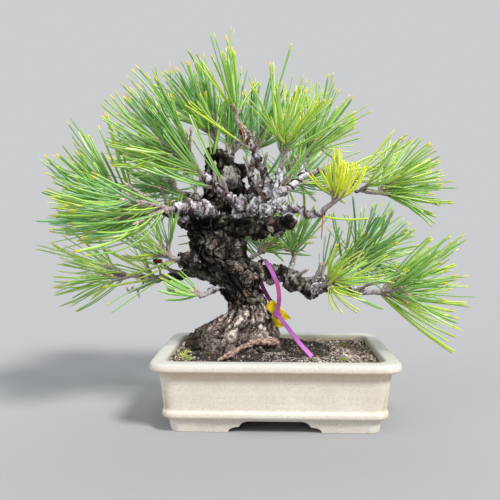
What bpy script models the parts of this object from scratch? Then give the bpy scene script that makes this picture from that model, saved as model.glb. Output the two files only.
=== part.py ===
"""A Japanese black pine bonsai in its rectangular stoneware pot, at its real size.

Metres, +Z up, the ground at z = 0. +X is to the right and -Y faces the viewer. The tree is laid out
round the middle of the pot, and the last step moves everything to the middle of its box.
"""
import math
import random

import bmesh
import bpy
import numpy as np
from mathutils import Quaternion, Vector
from mathutils.bvhtree import BVHTree

MM = 0.001
GAP = 0.3 * MM
WELD = 0.0001 * MM
GOLDEN_TURN = math.radians(137.5)

# The pot: a rounded rectangle with an out-turned lip, a belt low on the wall and four bracket feet
POT_LENGTH = 203 * MM
POT_DEPTH = 154 * MM
POT_CORNER = 16 * MM
CORNER_STEPS = 3
# Inset from the lip's edge and height, from the underside out, up the wall and over the lip
POT_OUTSIDE = ((16.0, 9.5), (13.2, 9.8), (12.0, 11.4), (10.2, 12.4), (9.3, 14.0), (9.3, 16.8), (10.3, 18.3),
               (10.7, 19.2), (7.3, 47.2), (6.4, 50.2), (1.5, 51.2), (0.2, 52.6), (0.0, 55.4), (0.7, 57.8),
               (2.6, 59.0), (10.4, 59.1), (12.2, 58.2))
POT_INSIDE = ((12.9, 55.5), (13.2, 30.0), (15.0, 16.5), (18.0, 14.5))
FOOT_INSET = 14.2 * MM
FOOT_WALL = 11 * MM
FOOT_TOP = 11.5 * MM
FOOT_TAPER = 1.6 * MM
# Half of the arch between two feet: distance short of the bracket's tip, and height
FOOT_ARCH = ((0.0, -1.0), (0.8, 1.6), (3.2, 3.6), (7.0, 4.4), (9.6, 4.6), (10.4, 6.6), (13.0, 8.6),
             (17.0, 9.5))
ARCH_HALF_LENGTH = 38.5 * MM
ARCH_HALF_DEPTH = 27 * MM
DRAIN_HOLE = 17 * MM
DRAIN_SPACING = 96 * MM
DRAIN_SIDES = 20
DRAIN_CUT = (24 * MM, 12 * MM)

# The soil: level at the wall, rising to a flat top under the trunk
SOIL_EDGE = 53.0 * MM
SOIL_TOP = 60.0 * MM
SOIL_TOP_CENTRE = (-33 * MM, -4 * MM)
SOIL_TOP_HALF = (50 * MM, 43 * MM)
SOIL_TOP_CORNER = 36 * MM
SOIL_STEPS = (0.12, 0.32, 0.54, 0.78, 1.0)
SOIL_SIDES = 40

# The trunk: height, middle x, middle y and radius in millimetres, from the ground to the broken top
TRUNK = ((60.3, -33, -3, 33.0), (67, -31, -3, 31.5), (74, -29, -3, 28.5), (82.6, -24.5, -2, 23.5),
         (89, -24, -1, 20.0), (96, -24.8, 0, 17.8), (107.8, -30.2, 0, 17.6), (118.6, -37.3, 0, 20.4),
         (129.3, -43.6, 0, 22.8), (140.9, -49.0, 0, 24.3), (154.3, -51.6, 0, 24.2), (165.1, -53.4, 0, 23.0),
         (176.6, -50.7, 0, 21.4), (190, -45.6, 0, 18.4), (203.3, -43.9, 0, 16.9), (216.6, -45.2, 0, 15.4),
         (227.2, -50.0, 0, 10.7), (234.3, -52.3, 0, 5.3))
TRUNK_SIDES = 32
TRUNK_STEP = 8
OLD_BARK_RADIUS = 15
# The roots of the flare: direction and half-width in degrees, reach in millimetres, height of their
# back, and how blunt that back is
ROOTS = ((180, 34, 15, 89, 3.0), (222, 18, 7, 86, 2.0), (259, 12, 8, 102, 0.8), (292, 15, 7, 80, 2.0),
         (326, 15, 8, 106, 0.8), (2, 22, 8, 100, 0.8), (58, 19, 6, 96, 0.8), (118, 20, 6, 92, 0.8))
# The two ridges that part below the neck in front: height, the direction of the left and of the right
# one, and their half-width in degrees
FORK = ((58, 240, 334, 9), (66, 246, 326, 9), (78, 254, 306, 9), (90, 266, 284, 10), (104, 272, 274, 12),
        (116, 268, 268, 12))
FORK_HEIGHT = 3.4
FORK_DEPTH = 1.3
FORK_FADE = (92, 108)
# The root that shows on the soil in front: its places and, last, its radius in millimetres
FRONT_ROOT = ((-46.8, -57, 57.6, 1.5), (-40.5, -54, 61.2, 2.1), (-34, -50, 64.6, 2.6), (-24, -44, 68.4, 2.7),
              (-12.5, -39, 71.2, 3.2), (-2, -34, 70, 3.8), (1, -26, 67.5, 4.2), (-6, -18, 66, 4.2))
FRONT_ROOT_STEP = 6
FRONT_ROOT_SIDES = 8

# The limbs: what each grows from, its radius at the foot and the tip, how late it tapers, and its
# route, in millimetres
LIMBS = {
    "bough_low_right": ("trunk", 10.0, 2.6, 1.3, (
        (-42, 0, 128), (-11, -4, 125.2), (9, -8, 122.9), (26.5, -10, 114.4), (48, -12, 112.9),
        (67, -14, 111.4), (84, -15, 109.8))),
    "bough_low_right_back": ("bough_low_right", 5.0, 2.6, 0.8, (
        (22, -9, 117), (31, 6, 116.5), (47, 25, 118.4), (67, 42, 126.4))),
    "spur_low_right": ("bough_low_right", 3.6, 2.4, 0.8, ((35, -12, 113), (37, -21, 115), (40, -28, 117))),
    "spur_low_right_up": ("bough_low_right", 3.6, 2.4, 0.8, ((14, -8, 119), (14, 0, 127), (16, 8, 134))),
    "spur_back": ("trunk", 4.4, 2.6, 0.8, ((-42, 8, 131), (-28, 20, 134), (-20, 30, 138))),
    "bough_mid_right": ("trunk", 9.6, 2.8, 1.0, (
        (-50, -2, 180), (-21.6, -14, 181), (-2.5, -22, 180.8), (14.4, -28, 181.6), (27.7, -32, 177.8),
        (36, -36.5, 177.2), (41.8, -39, 181.5))),
    "stub_mid_right": ("bough_mid_right", 9.0, 6.8, 0.8, (
        (-44, -6, 165), (-26, -15, 165.6), (-8, -22, 167.6), (8, -27, 169.6))),
    "riser_top": ("bough_mid_right", 5.0, 2.6, 0.8, (
        (-14.5, -16, 183), (-7.7, -20, 198), (-11.2, -18, 215), (-21.6, -15, 237), (-29.4, -14, 252))),
    "riser_middle": ("bough_mid_right", 4.2, 2.5, 0.8, (
        (-29, -9, 182), (-20.5, 1, 200), (-21.5, 7, 214), (-20, 11, 226))),
    "riser_front": ("bough_mid_right", 4.4, 2.5, 0.8, (
        (2, -24, 183), (1.5, -25, 192), (2.5, -29, 206), (5, -32, 217))),
    "riser_right": ("riser_front", 4.0, 2.8, 0.8, ((2, -26, 195), (9, -14, 199), (22, 0, 209), (26, 5, 221))),
    "riser_far_right": ("riser_right", 2.7, 2.2, 0.8, (
        (22.5, 1, 210.5), (39.8, -1, 214.6), (54.4, -5, 207.2), (71.3, -10, 198.6), (80.5, -12, 197.2))),
    "bough_left_front": ("trunk", 8.0, 3.0, 0.8, (
        (-49, -4, 176), (-60.9, -30, 181.5), (-72.2, -42, 183), (-80, -49, 182))),
    "bough_left_mid": ("trunk", 8.6, 3.0, 0.8, (
        (-52, 3, 175.5), (-63, 3, 176.6), (-79, -8, 179.2), (-100, -14, 181), (-117.6, -15, 180))),
    "bough_upper_left": ("bough_mid_right", 5.6, 3.0, 0.8, (
        (-28.5, -18, 182), (-39.7, -29, 192.4), (-51.5, -30, 202.5), (-60, -25, 210))),
    "bough_low_left": ("trunk", 7.6, 2.8, 0.8, (
        (-44, 4, 130.5), (-56, 8, 128.6), (-71, 8, 127), (-90, 7, 121), (-106, 8, 118.5), (-123, 10, 120.2))),
    "spur_low_left": ("trunk", 5.0, 2.6, 0.8, ((-38, -6, 111.5), (-50, -14, 112.8), (-57.5, -21, 109.5))),
    "stub_left": ("trunk", 8.2, 6.4, 0.8, (
        (-50, -5, 136), (-62, -10, 136), (-72.3, -15, 137.3), (-82, -20, 138.4))),
    "bough_back_left": ("trunk", 7.0, 3.0, 0.8, (
        (-51, 7, 178), (-62, 28, 184), (-76, 46, 192), (-90, 60, 198))),
    "bough_back_right": ("trunk", 6.2, 3.0, 0.8, (
        (-44, 5, 190), (-30, 26, 195), (-12, 42, 200), (5, 54, 204))),
    "bough_back_top": ("trunk", 5.0, 2.8, 0.8, ((-45, 3, 212), (-43, 20, 222), (-40, 34, 232))),
    "bough_back_low": ("trunk", 6.0, 3.0, 0.8, ((-47, 9, 152), (-42, 34, 155), (-36, 56, 160))),
    "dead_twig": ("bough_low_left", 2.4, 1.1, 0.8, (
        (-106, 6, 118), (-112, -3, 115.5), (-121, -8, 111.6), (-130, -10, 108.3))),
}
LIMB_SIDES = 6
LIMB_STEP = 10 * MM

# The masses of needles: the limb whose tip each one grows from, the way it leans, its shoots and
# their length, how widely they fan, the needles' length and how widely they open from a shoot, and
# how much the shoots turn up. Lengths are in millimetres and angles in degrees.
MASSES = {
    "needles_far_left": ("bough_left_mid", (-0.92, 0.0, 0.40), 6, 32, 44, 56, 32, 0.10),
    "needles_upper_left": ("bough_upper_left", (-0.85, 0.12, 0.55), 8, 44, 44, 58, 28, 0.10),
    "needles_left_front": ("bough_left_front", (-0.93, -0.34, -0.08), 5, 40, 34, 64, 26, 0.05),
    "needles_low_left": ("bough_low_left", (-1.0, 0.0, 0.02), 5, 26, 36, 54, 30, 0.05),
    "needles_spur_left": ("spur_low_left", (-0.9, -0.15, 0.5), 2, 7, 30, 28, 28, 0.1),
    "needles_stub_left": ("stub_left", (-0.6, -0.35, 0.7), 3, 16, 50, 44, 40, 0.1),
    "needles_crown": ("trunk", (-0.42, 0.05, 0.90), 5, 20, 36, 60, 28, 0.2),
    "needles_riser_top": ("riser_top", (-0.15, -0.06, 1.0), 3, 10, 24, 66, 17, 0.2),
    "needles_riser_middle": ("riser_middle", (0.40, 0.25, 0.88), 4, 22, 42, 58, 34, 0.2),
    "needles_riser_front": ("riser_front", (0.32, -0.25, 0.92), 4, 18, 42, 56, 38, 0.2),
    "needles_riser_right": ("riser_right", (0.50, 0.12, 0.85), 4, 16, 40, 56, 38, 0.15),
    "needles_riser_far_right": ("riser_far_right", (0.95, 0.0, 0.26), 5, 16, 44, 51, 36, 0.1),
    "needles_mid_right": ("bough_mid_right", (0.42, -0.35, 0.84), 4, 10, 40, 38, 36, 0.15),
    "needles_spur_right": ("spur_low_right", (0.72, -0.62, 0.10), 4, 12, 58, 42, 44, 0.0),
    "needles_low_right_up": ("spur_low_right_up", (0.05, 0.15, 0.98), 3, 9, 58, 46, 42, 0.1),
    "needles_spur_back": ("spur_back", (0.60, 0.50, 0.55), 3, 14, 40, 48, 40, 0.1),
    "needles_low_right": ("bough_low_right", (1.0, -0.12, 0.14), 6, 22, 46, 57, 33, 0.08),
    "needles_low_right_back": ("bough_low_right_back", (0.74, 0.34, 0.52), 5, 24, 50, 54, 42, 0.1),
    "needles_back_left": ("bough_back_left", (-0.75, 0.55, 0.40), 5, 30, 50, 56, 40, 0.1),
    "needles_back_right": ("bough_back_right", (0.55, 0.70, 0.42), 5, 28, 50, 56, 40, 0.1),
    "needles_back_top": ("bough_back_top", (-0.05, 0.55, 0.85), 5, 24, 42, 56, 36, 0.15),
    "needles_back_low": ("bough_back_low", (0.05, 1.0, 0.12), 5, 24, 50, 54, 42, 0.1),
}
STEM_LENGTH = 10 * MM
STEM_RADIUS = 2.4 * MM
SHOOT_RADIUS = 2.0 * MM
NEEDLE_ROOT = 0.95 * MM
NEEDLE_TIP = 0.45 * MM
NEEDLES_PER_SHOOT = 5
STEM_SIDES = 5
SHOOT_SIDES = 3
NEEDLE_SIDES = 3
NEEDLE_SPACING = 2.6 * MM
NEEDLE_CLEARANCE = 0.5 * MM
TRIES = 6
TRY_TURN = math.radians(60)
LOWEST_TIP = 25 * MM
REACH_SHARE = 1.15
GROWTH_SEED = 4

# The grower's tie: a plastic strap looped over the low right bough, with a folded yellow tag on it
STRAP_WIDTH = 4.0 * MM
STRAP_THICK = 0.9 * MM
STRAP_LOCK = (1.9, -18.0, 90.7)
LOCK_SIZE = (6.4 * MM, 4.6 * MM, 6.4 * MM)
STRAP_LOOP = ((1.9, -17.5, 91), (3.7, -17, 102.7), (2.6, -16.6, 115), (-1.8, -15.8, 126),
              (-6.5, -11.5, 134.0), (-9.5, -3, 137.2), (-12.4, 6.5, 134.5), (-13.6, 9.6, 125),
              (-12.2, 10, 115), (-7.0, 8.5, 104), (-0.5, -2, 95.5), (1.2, -15.0, 91))
STRAP_TAIL = ((1.9, -18.5, 91), (10.0, -25.5, 81.5), (20.5, -35.5, 69.0))
STRAP_TAIL_END = (30.8, -45)
LOOP_STEP = 5 * MM
TAIL_STEP = 8 * MM
TAIL_LIFT = 2.2 * MM
LOCK_TILT = math.radians(-20)
TAG_SIZE = (26 * MM, 11.5 * MM)
TAG_THICK = 0.9 * MM
TAG_POINT = 6 * MM
TAG_PLACE = (4.0, -11.4, 94.4)
TAG_TURN = (82, 42, -14)

COLOURS = {
    "pot": ((0.66, 0.62, 0.52), 0.62),
    "soil": ((0.13, 0.10, 0.075), 0.95),
    "bark": ((0.11, 0.085, 0.07), 0.9),
    "limb": ((0.19, 0.155, 0.135), 0.88),
    "dead_wood": ((0.30, 0.25, 0.21), 0.9),
    "needles": ((0.13, 0.30, 0.06), 0.5),
    "strap": ((0.55, 0.09, 0.42), 0.3),
    "tag": ((0.85, 0.55, 0.03), 0.3),
}


def clear_scene():
    """Removes every object the scene starts with."""
    for old in list(bpy.data.objects):
        bpy.data.objects.remove(old)


def new_collection(name):
    """Adds a collection to the scene."""
    made = bpy.data.collections.new(name)
    bpy.context.scene.collection.children.link(made)
    return made


clear_scene()
TREE = new_collection("black_pine_bonsai")
CUTTERS = new_collection("cutters")
PIECES = new_collection("pieces")


def in_mm(*values):
    """A place given in millimetres, as a vector in metres."""
    return Vector(values) * MM


def material(name):
    """The named plain material, made on its first use."""
    made = bpy.data.materials.get(name)
    if made is None:
        colour, roughness = COLOURS[name]
        made = bpy.data.materials.new(name)
        made.use_nodes = True
        shader = made.node_tree.nodes["Principled BSDF"]
        shader.inputs["Base Color"].default_value = (*colour, 1.0)
        shader.inputs["Roughness"].default_value = roughness
        made.diffuse_color = (*colour, 1.0)
    return made


def add_object(name, mesh, collection, finish=None):
    """Links a new object on the mesh, and gives it its material."""
    made = bpy.data.objects.new(name, mesh)
    collection.objects.link(made)
    if finish:
        mesh.materials.clear()
        mesh.materials.append(material(finish))
    return made


def as_cutter(thing):
    """Marks an object as one that only cuts."""
    thing.hide_render = True
    thing.display_type = "WIRE"
    return thing


def discard(thing):
    """Removes an object and the mesh or curve that only it uses."""
    data = thing.data
    bpy.data.objects.remove(thing)
    if data and data.users == 0:
        library = bpy.data.meshes if isinstance(data, bpy.types.Mesh) else bpy.data.curves
        library.remove(data)


def evaluated_mesh(thing, name):
    """The mesh that the modifiers give, welded."""
    bpy.context.view_layer.update()
    graph = bpy.context.evaluated_depsgraph_get()
    mesh = bpy.data.meshes.new_from_object(thing.evaluated_get(graph))
    mesh.name = name
    shape = bmesh.new()
    shape.from_mesh(mesh)
    bmesh.ops.remove_doubles(shape, verts=shape.verts, dist=WELD)
    shape.to_mesh(mesh)
    shape.free()
    return mesh


def apply_booleans(thing, steps):
    """Cuts or joins the object with each (operation, other) and keeps the result as its mesh."""
    for operation, other in steps:
        boolean = thing.modifiers.new(operation, "BOOLEAN")
        boolean.operation = operation
        boolean.solver = "EXACT"
        boolean.object = other
    mesh = evaluated_mesh(thing, thing.name)
    thing.modifiers.clear()
    thing.data = mesh


def skin(shape, rings, ring_closes=False):
    """Faces between rings of equal count, then a cap on each end or a last band back to the first."""
    loops = [[shape.verts.new(point) for point in ring] for ring in rings]
    bands = list(zip(loops, loops[1:]))
    if ring_closes:
        bands.append((loops[-1], loops[0]))
    for low, high in bands:
        for here in range(len(low)):
            after = (here + 1) % len(low)
            shape.faces.new((low[here], low[after], high[after], high[here]))
    if not ring_closes:
        shape.faces.new(tuple(reversed(loops[0])))
        shape.faces.new(tuple(loops[-1]))


def lofted(name, rings, ring_closes=False):
    """A mesh skinned over the rings, with its faces pointing out and every quad split one way."""
    shape = bmesh.new()
    skin(shape, rings, ring_closes)
    bmesh.ops.triangulate(shape, faces=[face for face in shape.faces if len(face.verts) == 4],
                          quad_method="FIXED")
    bmesh.ops.recalc_face_normals(shape, faces=shape.faces)
    mesh = bpy.data.meshes.new(name)
    shape.to_mesh(mesh)
    shape.free()
    return mesh


def rounded_rectangle(half_x, half_y, corner, z, centre=(0.0, 0.0)):
    """A level ring of points with arcs for corners, anticlockwise from the +X side."""
    ring = []
    for quarter, (side_x, side_y) in enumerate(((1, 1), (-1, 1), (-1, -1), (1, -1))):
        middle_x = centre[0] + side_x * (half_x - corner)
        middle_y = centre[1] + side_y * (half_y - corner)
        for step in range(CORNER_STEPS + 1):
            angle = math.radians(90) * (quarter + step / CORNER_STEPS)
            ring.append(Vector((middle_x + corner * math.cos(angle), middle_y + corner * math.sin(angle), z)))
    return ring


def pot_ring(inset, z):
    """A ring of the pot at an inset from the lip's outer edge."""
    corner = max(POT_CORNER - 0.4 * inset, 6 * MM)
    return rounded_rectangle(POT_LENGTH / 2 - inset, POT_DEPTH / 2 - inset, corner, z)


def arch_cutter(name, half_width, along_y):
    """A bar with the outline of the arch between two feet, run right under the pot."""
    outline = [Vector((half_width - inner * MM, height * MM, 0)) for inner, height in FOOT_ARCH]
    outline += [Vector((-point.x, point.y, 0)) for point in reversed(outline)]
    curve = bpy.data.curves.new(name, "CURVE")
    curve.dimensions = "2D"
    curve.fill_mode = "BOTH"
    curve.extrude = POT_LENGTH
    spline = curve.splines.new("POLY")
    spline.points.add(len(outline) - 1)
    for point, place in zip(spline.points, outline):
        point.co = (*place, 1.0)
    spline.use_cyclic_u = True
    drawn = bpy.data.objects.new(name, curve)
    CUTTERS.objects.link(drawn)
    drawn.rotation_euler = (math.radians(90), 0, 0 if along_y else math.radians(90))
    mesh = evaluated_mesh(drawn, name)
    cutter = as_cutter(add_object(name, mesh, CUTTERS))
    cutter.matrix_world = drawn.matrix_world
    discard(drawn)
    return cutter


def build_pot():
    """The pot: one wall over the lip and down inside, four bracket feet and two drain holes."""
    profile = POT_OUTSIDE + POT_INSIDE
    rings = [pot_ring(inset * MM, z * MM) for inset, z in profile]
    pot = add_object("pot", lofted("pot", rings), TREE, "pot")
    foot_rings = [
        pot_ring(FOOT_INSET + FOOT_TAPER, 0.0),
        pot_ring(FOOT_INSET, FOOT_TOP),
        pot_ring(FOOT_INSET + FOOT_WALL, FOOT_TOP),
        pot_ring(FOOT_INSET + FOOT_WALL, 0.0),
    ]
    feet = as_cutter(add_object("feet", lofted("feet", foot_rings, ring_closes=True), CUTTERS))
    arches = (arch_cutter("arch_front", ARCH_HALF_LENGTH, True),
              arch_cutter("arch_side", ARCH_HALF_DEPTH, False))
    apply_booleans(feet, [("DIFFERENCE", arch) for arch in arches])
    holes = []
    for side in (-1, 1):
        depth, middle = DRAIN_CUT
        bpy.ops.mesh.primitive_cylinder_add(vertices=DRAIN_SIDES, radius=DRAIN_HOLE / 2, depth=depth,
                                            location=(side * DRAIN_SPACING / 2, 0, middle))
        hole = bpy.context.object
        hole.users_collection[0].objects.unlink(hole)
        CUTTERS.objects.link(hole)
        holes.append(as_cutter(hole))
    apply_booleans(pot, [("UNION", feet)] + [("DIFFERENCE", hole) for hole in holes])
    return pot


def evenly(ring, count):
    """The same closed ring as that many points at equal steps along it."""
    closed = np.array([*ring, ring[0]])
    along = np.concatenate(([0], np.cumsum(np.linalg.norm(np.diff(closed, axis=0), axis=1))))
    wanted = np.linspace(0, along[-1], count, endpoint=False)
    columns = [np.interp(wanted, along, closed[:, axis]) for axis in range(3)]
    return [Vector(place) for place in zip(*columns)]


def mound(x, y):
    """How far the gravel lies above or below its even slope at a place in millimetres."""
    humps = math.sin(x / 7.3 + math.sin(y / 11)) * math.sin(y / 6.1 + 0.8)
    return 0.9 * humps + 0.5 * math.sin((x - y) / 9.7)


def build_soil():
    """The soil: it fills the pot to a hair inside its wall and rises by mounds to a flat top."""
    insets = [(inset * MM + GAP * 1.5, z * MM + GAP) for inset, z in reversed(POT_INSIDE[1:])]
    insets.append((POT_INSIDE[0][0] * MM + GAP * 1.5, SOIL_EDGE))
    rings = [evenly(pot_ring(inset, z), SOIL_SIDES) for inset, z in insets]
    edge = rings[-1]
    top = evenly(rounded_rectangle(*SOIL_TOP_HALF, SOIL_TOP_CORNER, SOIL_TOP, SOIL_TOP_CENTRE), SOIL_SIDES)
    for share in SOIL_STEPS:
        ring = [low.lerp(high, share) for low, high in zip(edge, top)]
        if share < 1:
            for place in ring:
                place.z += mound(place.x / MM, place.y / MM) * MM
        rings.append(ring)
    return add_object("soil", lofted("soil", rings), TREE, "soil")


def bark_lift(angle, z):
    """How far the old bark stands out in millimetres: ridges that wander up the trunk, and burrs."""
    wander = angle + 0.30 * math.sin(z / 13)
    ridges = math.sin(9 * wander + 0.10 * z) * (0.6 + 0.4 * math.sin(z / 7 + 3 * angle))
    burrs = math.sin(5 * angle - z / 6.5 + 1) * math.sin(z / 9 + 2 * angle)
    return 1.1 * ridges + 1.2 * burrs


def fork_lift(angle, z):
    """How far the flare's two front ridges stand out at an angle in degrees, and the bark between sinks."""
    fade = min(1, max(0, (FORK_FADE[1] - z) / (FORK_FADE[1] - FORK_FADE[0])))
    for (low, *start), (high, *end) in zip(FORK, FORK[1:]):
        if low <= z < high:
            share = (z - low) / (high - low)
            left, right, width = [a + (b - a) * share for a, b in zip(start, end)]
            back = max(math.exp(-((angle - side) / width) ** 2) for side in (left, right))
            return fade * (FORK_HEIGHT * back - FORK_DEPTH)
    return 0.0


def trunk_ring(z, x, y, radius, grow):
    """A level ring of the trunk: round, rough with bark and pushed out by the roots below."""
    ring = []
    for step in range(TRUNK_SIDES):
        angle = 2 * math.pi * step / TRUNK_SIDES
        reach = radius + bark_lift(angle, z) * min(1, radius / OLD_BARK_RADIUS)
        reach += fork_lift(math.degrees(angle), z)
        for direction, width, length, top, blunt in ROOTS:
            rise = max(0.0, (z - TRUNK[0][0]) / (top - TRUNK[0][0]))
            if rise < 1:
                away = math.degrees(angle) - direction
                away = (away + 180) % 360 - 180
                reach += length * (1 - rise ** blunt) * math.exp(-(away / width) ** 2)
        ring.append(in_mm(x + (reach + grow) * math.cos(angle), y + (reach + grow) * math.sin(angle), z))
    return ring


def smooth_curve(rows, step):
    """Rows at about equal steps on a smooth curve through the rows."""
    ends = [rows[0] * 2 - rows[1]] + rows + [rows[-1] * 2 - rows[-2]]
    curve = []
    for before, start, end, after in zip(ends, ends[1:], ends[2:], ends[3:]):
        count = max(1, round((end - start).length / step))
        for part in range(count):
            t = part / count
            curve.append(0.5 * (2 * start + (end - before) * t
                                + (2 * before - 5 * start + 4 * end - after) * t ** 2
                                + (3 * start - before - 3 * end + after) * t ** 3))
    curve.append(rows[-1])
    return curve


def trunk_mesh(name, grow):
    """The trunk's skin, grown all round by that many millimetres."""
    rings = [trunk_ring(*row, grow) for row in smooth_curve([Vector(row) for row in TRUNK], TRUNK_STEP)]
    for ring, lift in ((rings[0], -grow), (rings[-1], grow)):
        for point in ring:
            point.z += lift * MM
    return lofted(name, rings)


def smooth_route(points, step):
    """Places at about equal steps on a smooth curve through points in millimetres."""
    return smooth_curve([in_mm(*point) for point in points], step)


def limb_course(limb):
    """The places along a limb and its radius at each, in millimetres."""
    _, foot, tip, taper, points = limb
    route = smooth_route(points, LIMB_STEP)
    shares = [index / (len(route) - 1) for index in range(len(route))]
    return route, [foot + (tip - foot) * share ** taper for share in shares]


def tube_mesh(name, route, radii, sides):
    """A closed tube along a route, its radii in millimetres."""
    curve = bpy.data.curves.new(name, "CURVE")
    curve.dimensions = "3D"
    curve.bevel_depth = MM
    curve.bevel_resolution = (sides - 4) // 2
    curve.use_fill_caps = True
    spline = curve.splines.new("POLY")
    spline.points.add(len(route) - 1)
    for point, place, radius in zip(spline.points, route, radii):
        point.co = (*place, 1.0)
        point.radius = radius
    drawn = bpy.data.objects.new(name, curve)
    CUTTERS.objects.link(drawn)
    mesh = evaluated_mesh(drawn, name)
    discard(drawn)
    return mesh


def limb_mesh(name, limb, grow):
    """One tapering limb as a closed tube, grown all round by that many millimetres."""
    route, radii = limb_course(limb)
    return tube_mesh(name, route, [radius + grow for radius in radii], LIMB_SIDES)


def front_root(soil):
    """The root that lies on the soil in front of the trunk, cut clear of the soil."""
    rows = smooth_curve([Vector(row) for row in FRONT_ROOT], FRONT_ROOT_STEP)
    mesh = tube_mesh("front_root", [row.xyz * MM for row in rows], [row.w for row in rows], FRONT_ROOT_SIDES)
    root = as_cutter(add_object("front_root", mesh, CUTTERS))
    above = as_cutter(add_object("above_soil", soil.data.copy(), CUTTERS))
    above.location.z = GAP * 1.2
    apply_booleans(root, [("DIFFERENCE", above)])
    return root


def build_trunk_and_limbs(soil):
    """The trunk with its front root, then each limb cut clear of what it grows from."""
    clearance = GAP / MM + 0.05
    cutters = {"trunk": as_cutter(add_object("around_trunk", trunk_mesh("around_trunk", clearance), CUTTERS))}
    trunk = add_object("trunk", trunk_mesh("trunk", 0.0), TREE, "bark")
    apply_booleans(trunk, [("UNION", front_root(soil))])
    for name, limb in LIMBS.items():
        parent = limb[0]
        finish = "dead_wood" if name == "dead_twig" else "limb"
        made = add_object(name, limb_mesh(name, limb, 0.0), TREE, finish)
        steps = [("DIFFERENCE", cutters["trunk"])]
        if parent != "trunk":
            steps.append(("DIFFERENCE", cutters[parent]))
        apply_booleans(made, steps)
        around = "around_" + name
        cutters[name] = as_cutter(add_object(around, limb_mesh(around, limb, clearance), CUTTERS))


class Taken:
    """The straight stretches that nothing else may touch, each with its radius and its owner."""

    def __init__(self):
        self.starts = np.zeros((0, 3))
        self.ends = np.zeros((0, 3))
        self.radii = np.zeros(0)
        self.owners = np.zeros(0, dtype=object)

    def add(self, owner, start, end, radius):
        """Keeps one more stretch."""
        self.starts = np.vstack((self.starts, start))
        self.ends = np.vstack((self.ends, end))
        self.radii = np.append(self.radii, radius)
        self.owners = np.append(self.owners, owner)

    def add_limb(self, owner, route, radii):
        """Keeps a limb's stretches, the last one only up to the flat tip."""
        last = len(route) - 2
        for index, (start, end) in enumerate(zip(route, route[1:])):
            radius = 1.1 * radii[index + 1]
            if index == last:
                end = end - (end - start).normalized() * 0.4 * radius
            self.add(owner, start, end, radius)

    def clears(self, owner, start, end, radius):
        """Whether a stretch stays clear of everything of another owner."""
        others = self.owners != owner
        starts, ends = self.starts[others], self.ends[others]
        along, across = np.array(end - start), ends - starts
        offset = np.array(start) - starts
        a, c = along @ along, np.einsum("ij,ij->i", across, across)
        b, d, e = across @ along, offset @ along, np.einsum("ij,ij->i", across, offset)
        spread = np.maximum(a * c - b * b, 1e-18)
        s = np.clip((b * e - c * d) / spread, 0, 1)
        t = np.clip((b * s + e) / c, 0, 1)
        s = np.clip((b * t - d) / a, 0, 1)
        nearest = offset + s[:, None] * along - t[:, None] * across
        gaps = np.linalg.norm(nearest, axis=1) - self.radii[others] - radius
        return bool(gaps.min() > NEEDLE_CLEARANCE)


def fanned(axis, polar, turn):
    """The direction at an angle from an axis, turned round it."""
    level = axis.cross(Vector((0, 0, 1)))
    side = level.normalized() if level.length > 1e-6 else Vector((1, 0, 0))
    side.rotate(Quaternion(axis, turn))
    return (axis * math.cos(polar) + side * math.sin(polar)).normalized()


def tip_of(limb_name):
    """Where a limb ends and the way that it points there."""
    if limb_name == "trunk":
        top, x, y, _ = TRUNK[-1]
        return in_mm(x, y, top), Vector((0, 0, 1))
    before, tip = smooth_route(LIMBS[limb_name][-1], LIMB_STEP)[-2:]
    return tip, (tip - before).normalized()


def heart_of(mass):
    """The middle of a mass's own space."""
    limb, lean, _, shoot, _, needle, _, _ = mass
    return tip_of(limb)[0] + Vector(lean).normalized() * (shoot + 0.45 * needle) * MM


def grow_shoots(name, mass, taken, chance):
    """The stem and the shoots of a mass: (start, end, start radius, end radius) of each."""
    limb, lean, count, length, fan, _, _, lift = mass
    tip, way = tip_of(limb)
    lean = Vector(lean).normalized()
    root = tip + way * GAP
    stem = (root, root + way * STEM_LENGTH, STEM_RADIUS, SHOOT_RADIUS)
    fork = root + way * (STEM_LENGTH - SHOOT_RADIUS)
    shoots = []
    phase = chance.uniform(0, 2 * math.pi)
    for index in range(count):
        for attempt in range(TRIES):
            polar = math.radians(fan) * math.sqrt((index + 0.35) / count)
            turn = phase + index * GOLDEN_TURN + attempt * TRY_TURN
            way_out = fanned(lean, polar, turn)
            way_out = (way_out + Vector((0, 0, lift))).normalized()
            end = fork + way_out * length * MM * chance.uniform(0.7, 1.1)
            if taken.clears(name, fork, end, SHOOT_RADIUS):
                shoots.append((fork, end, SHOOT_RADIUS, 0.8 * SHOOT_RADIUS))
                break
    for start, end, radius, _ in [stem] + shoots:
        taken.add(name, start, end, radius)
    return stem, shoots


def grow_needles(name, mass, shoots, taken, hearts, chance):
    """The needles that stand out of the shoots' ends: (root, tip) of each."""
    _, _, _, _, _, length, cone, _ = mass
    heart = hearts[name]
    others = [place for other, place in hearts.items() if other != name]
    needles = []
    for start, end, _, _ in shoots:
        axis = (end - start).normalized()
        phase = chance.uniform(0, 2 * math.pi)
        spacing = min(NEEDLE_SPACING, 0.8 * (end - start).length / NEEDLES_PER_SHOOT)
        for index in range(NEEDLES_PER_SHOOT):
            for attempt in range(TRIES):
                share = (index + 0.3) / NEEDLES_PER_SHOOT
                polar = math.radians(cone) * math.sqrt(share)
                turn = phase + index * GOLDEN_TURN + attempt * TRY_TURN
                root = end - axis * spacing * (index + 0.6)
                tip = root + fanned(axis, polar, turn) * length * MM * chance.uniform(0.85, 1.08)
                inside = all((tip - heart).length < REACH_SHARE * (tip - other).length for other in others)
                if inside and tip.z > LOWEST_TIP and taken.clears(name, root, tip, NEEDLE_ROOT):
                    needles.append((root, tip))
                    taken.add(name, root, tip, NEEDLE_ROOT)
                    break
    return needles


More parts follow.
